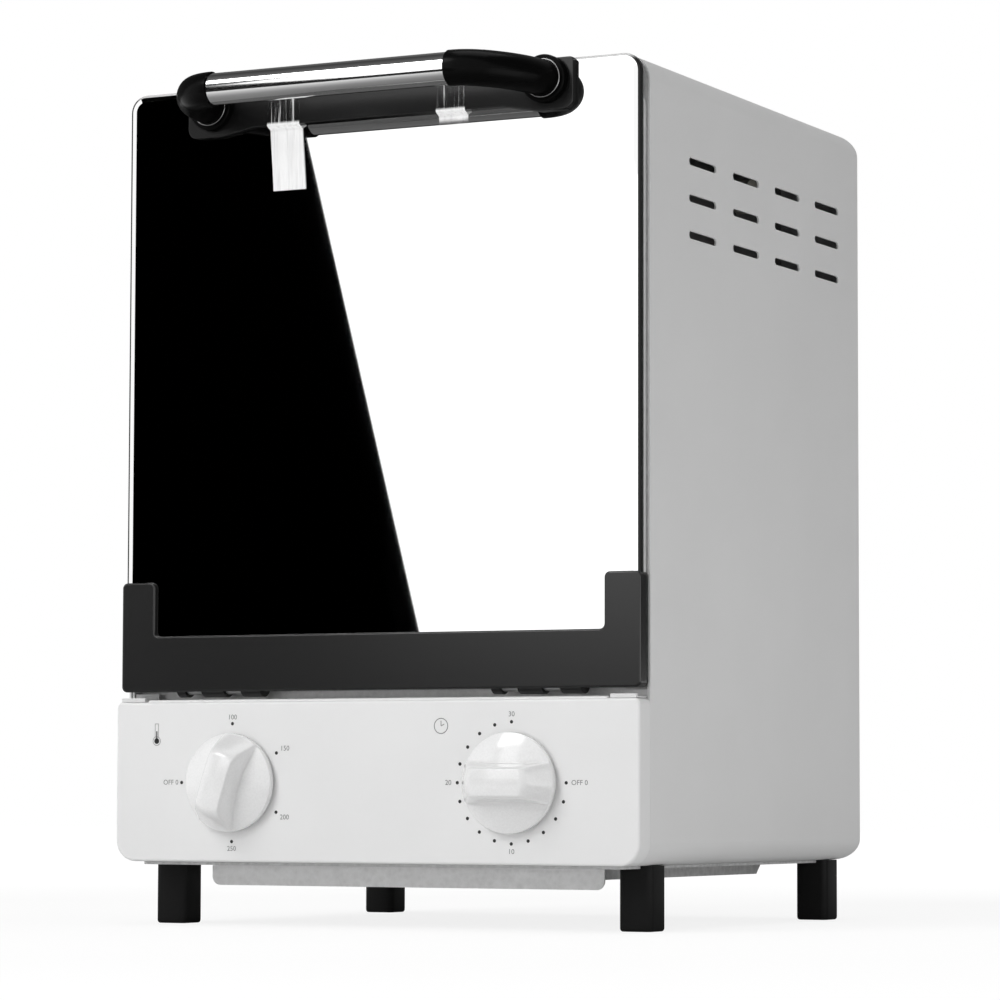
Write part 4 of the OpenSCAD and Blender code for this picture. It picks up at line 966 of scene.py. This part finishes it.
CENTRE = Vector((0, 0, 0.16))
area_light("front_soft", (-0.81, -1.71, 1.41), CENTRE, (1.0, 1.3), 21.5)
area_light("top_soft", (0.2, 0.1, 2.2), CENTRE, (1.4, 1.4), 12)
area_light("side_low", (0.55, -0.1, 0.02), (0.115, 0.0, 0.08), (0.3, 0.5), 0.6)
area_light("front_low", (-0.55, -1.6, 0.1), (0.0, -0.09, 0.08), (0.8, 0.16), 2.2).visible_glossy = False

# The mirror door shows two tall studio cards, one black and one white, that meet in a slanted line.
# The line's ends are where it crosses the door in the photograph, as seen from the camera.
YAW = math.radians(26.8305)
PITCH = math.radians(4.2271)
ROLL = math.radians(0.147)
LENS = 144.35
SENSOR = 36.0
PIXELS = 1000.0
CAMERA_AT = at(745.1, -1361.9, 26.06)
BOUNDARY_PX = ((305.0, 130.0), (419.0, 631.0))
CARD_Y = -900.0

forward = Vector((-math.sin(YAW) * math.cos(PITCH), math.cos(YAW) * math.cos(PITCH), math.sin(PITCH)))
right = Vector((math.cos(YAW), math.sin(YAW), 0))
up = right.cross(forward)
cam_right = right * math.cos(ROLL) + up * math.sin(ROLL)
cam_up = up * math.cos(ROLL) - right * math.sin(ROLL)


def card_point(px, py):
    """Where the door's mirror sends the view through photo pixel (px, py), on the plane of the cards."""
    focal = LENS / SENSOR * PIXELS
    ray = forward * focal + cam_right * (px - PIXELS / 2) - cam_up * (py - PIXELS / 2)
    glass_y = at(0, GLASS_FACE, 0).y
    hit = CAMERA_AT + ray * ((glass_y - CAMERA_AT.y) / ray.y)
    bounced = Vector((ray.x, -ray.y, ray.z))
    return hit + bounced * ((at(0, CARD_Y, 0).y - hit.y) / bounced.y)


def glow(name, level):
    """Plain glowing card; level 0 is matt black."""
    mat = bpy.data.materials.new(name)
    mat.use_nodes = True
    tree = mat.node_tree
    tree.nodes.clear()
    out = add(tree, "ShaderNodeOutputMaterial")
    path = add(tree, "ShaderNodeLightPath")
    plain = add(tree, "ShaderNodeRGB")
    plain.outputs["Color"].default_value = (1, 1, 1, 1)
    shine = add(tree, "ShaderNodeEmission")
    shine.inputs["Strength"].default_value = level
    tree.links.new(once_mirrored(tree, path, plain.outputs["Color"]), shine.inputs["Color"])
    tree.links.new(shine.outputs["Emission"], out.inputs["Surface"])
    return mat


top, bottom = card_point(*BOUNDARY_PX[0]), card_point(*BOUNDARY_PX[1])
slope = (top.x - bottom.x) / (top.z - bottom.z)
CARD_LO, CARD_HI = 0.002, 0.85
DARK_REACH, REACH = 0.28, 0.45
SKIRT_TOP = 0.148
STEP = Vector((0, 0.24, 0))
edge_lo = Vector((bottom.x + slope * (CARD_LO - bottom.z), bottom.y, CARD_LO))
edge_hi = Vector((bottom.x + slope * (CARD_HI - bottom.z), bottom.y, CARD_HI))
KNEE = top.z + 0.02
edge_knee = edge_lo + (edge_hi - edge_lo) * (KNEE / CARD_HI)
edge_hi.x = edge_knee.x
side, dark = Vector((REACH, 0, 0)), Vector((DARK_REACH, 0, 0))
skirt_hi = edge_lo + (edge_knee - edge_lo) * (SKIRT_TOP / KNEE)
cards = [
    quad("black_card", [skirt_hi - dark, skirt_hi, edge_knee, edge_hi, edge_hi - dark, edge_knee - dark],
         glow("black_card", 0.0)),
    quad("white_card", [skirt_hi, skirt_hi + side, edge_knee + side, edge_hi + side, edge_hi, edge_knee],
         glow("white_card", 1.6)),
    quad("card_foot", [edge_lo - side, edge_lo + side, skirt_hi + side, skirt_hi - side],
         glow("card_foot", 0.02)),
    quad("card_step", [edge_lo - side, edge_lo + side, edge_lo + side + STEP, edge_lo - side + STEP],
         glow("card_step", 0.02)),
]
for card in cards:
    card.visible_camera = False
    card.visible_diffuse = False
    card.visible_shadow = False
    card.visible_transmission = False

# Camera

camera_data = bpy.data.cameras.new("camera")
camera_data.lens = LENS
camera_data.sensor_width = SENSOR
camera_data.clip_end = 20
camera = bpy.data.objects.new("camera", camera_data)
bpy.context.collection.objects.link(camera)
camera.matrix_world = Matrix((
    (cam_right.x, cam_up.x, -forward.x, CAMERA_AT.x),
    (cam_right.y, cam_up.y, -forward.y, CAMERA_AT.y),
    (cam_right.z, cam_up.z, -forward.z, CAMERA_AT.z),
    (0, 0, 0, 1)))
bpy.context.scene.camera = camera
bpy.context.scene.view_settings.view_transform = "Standard"
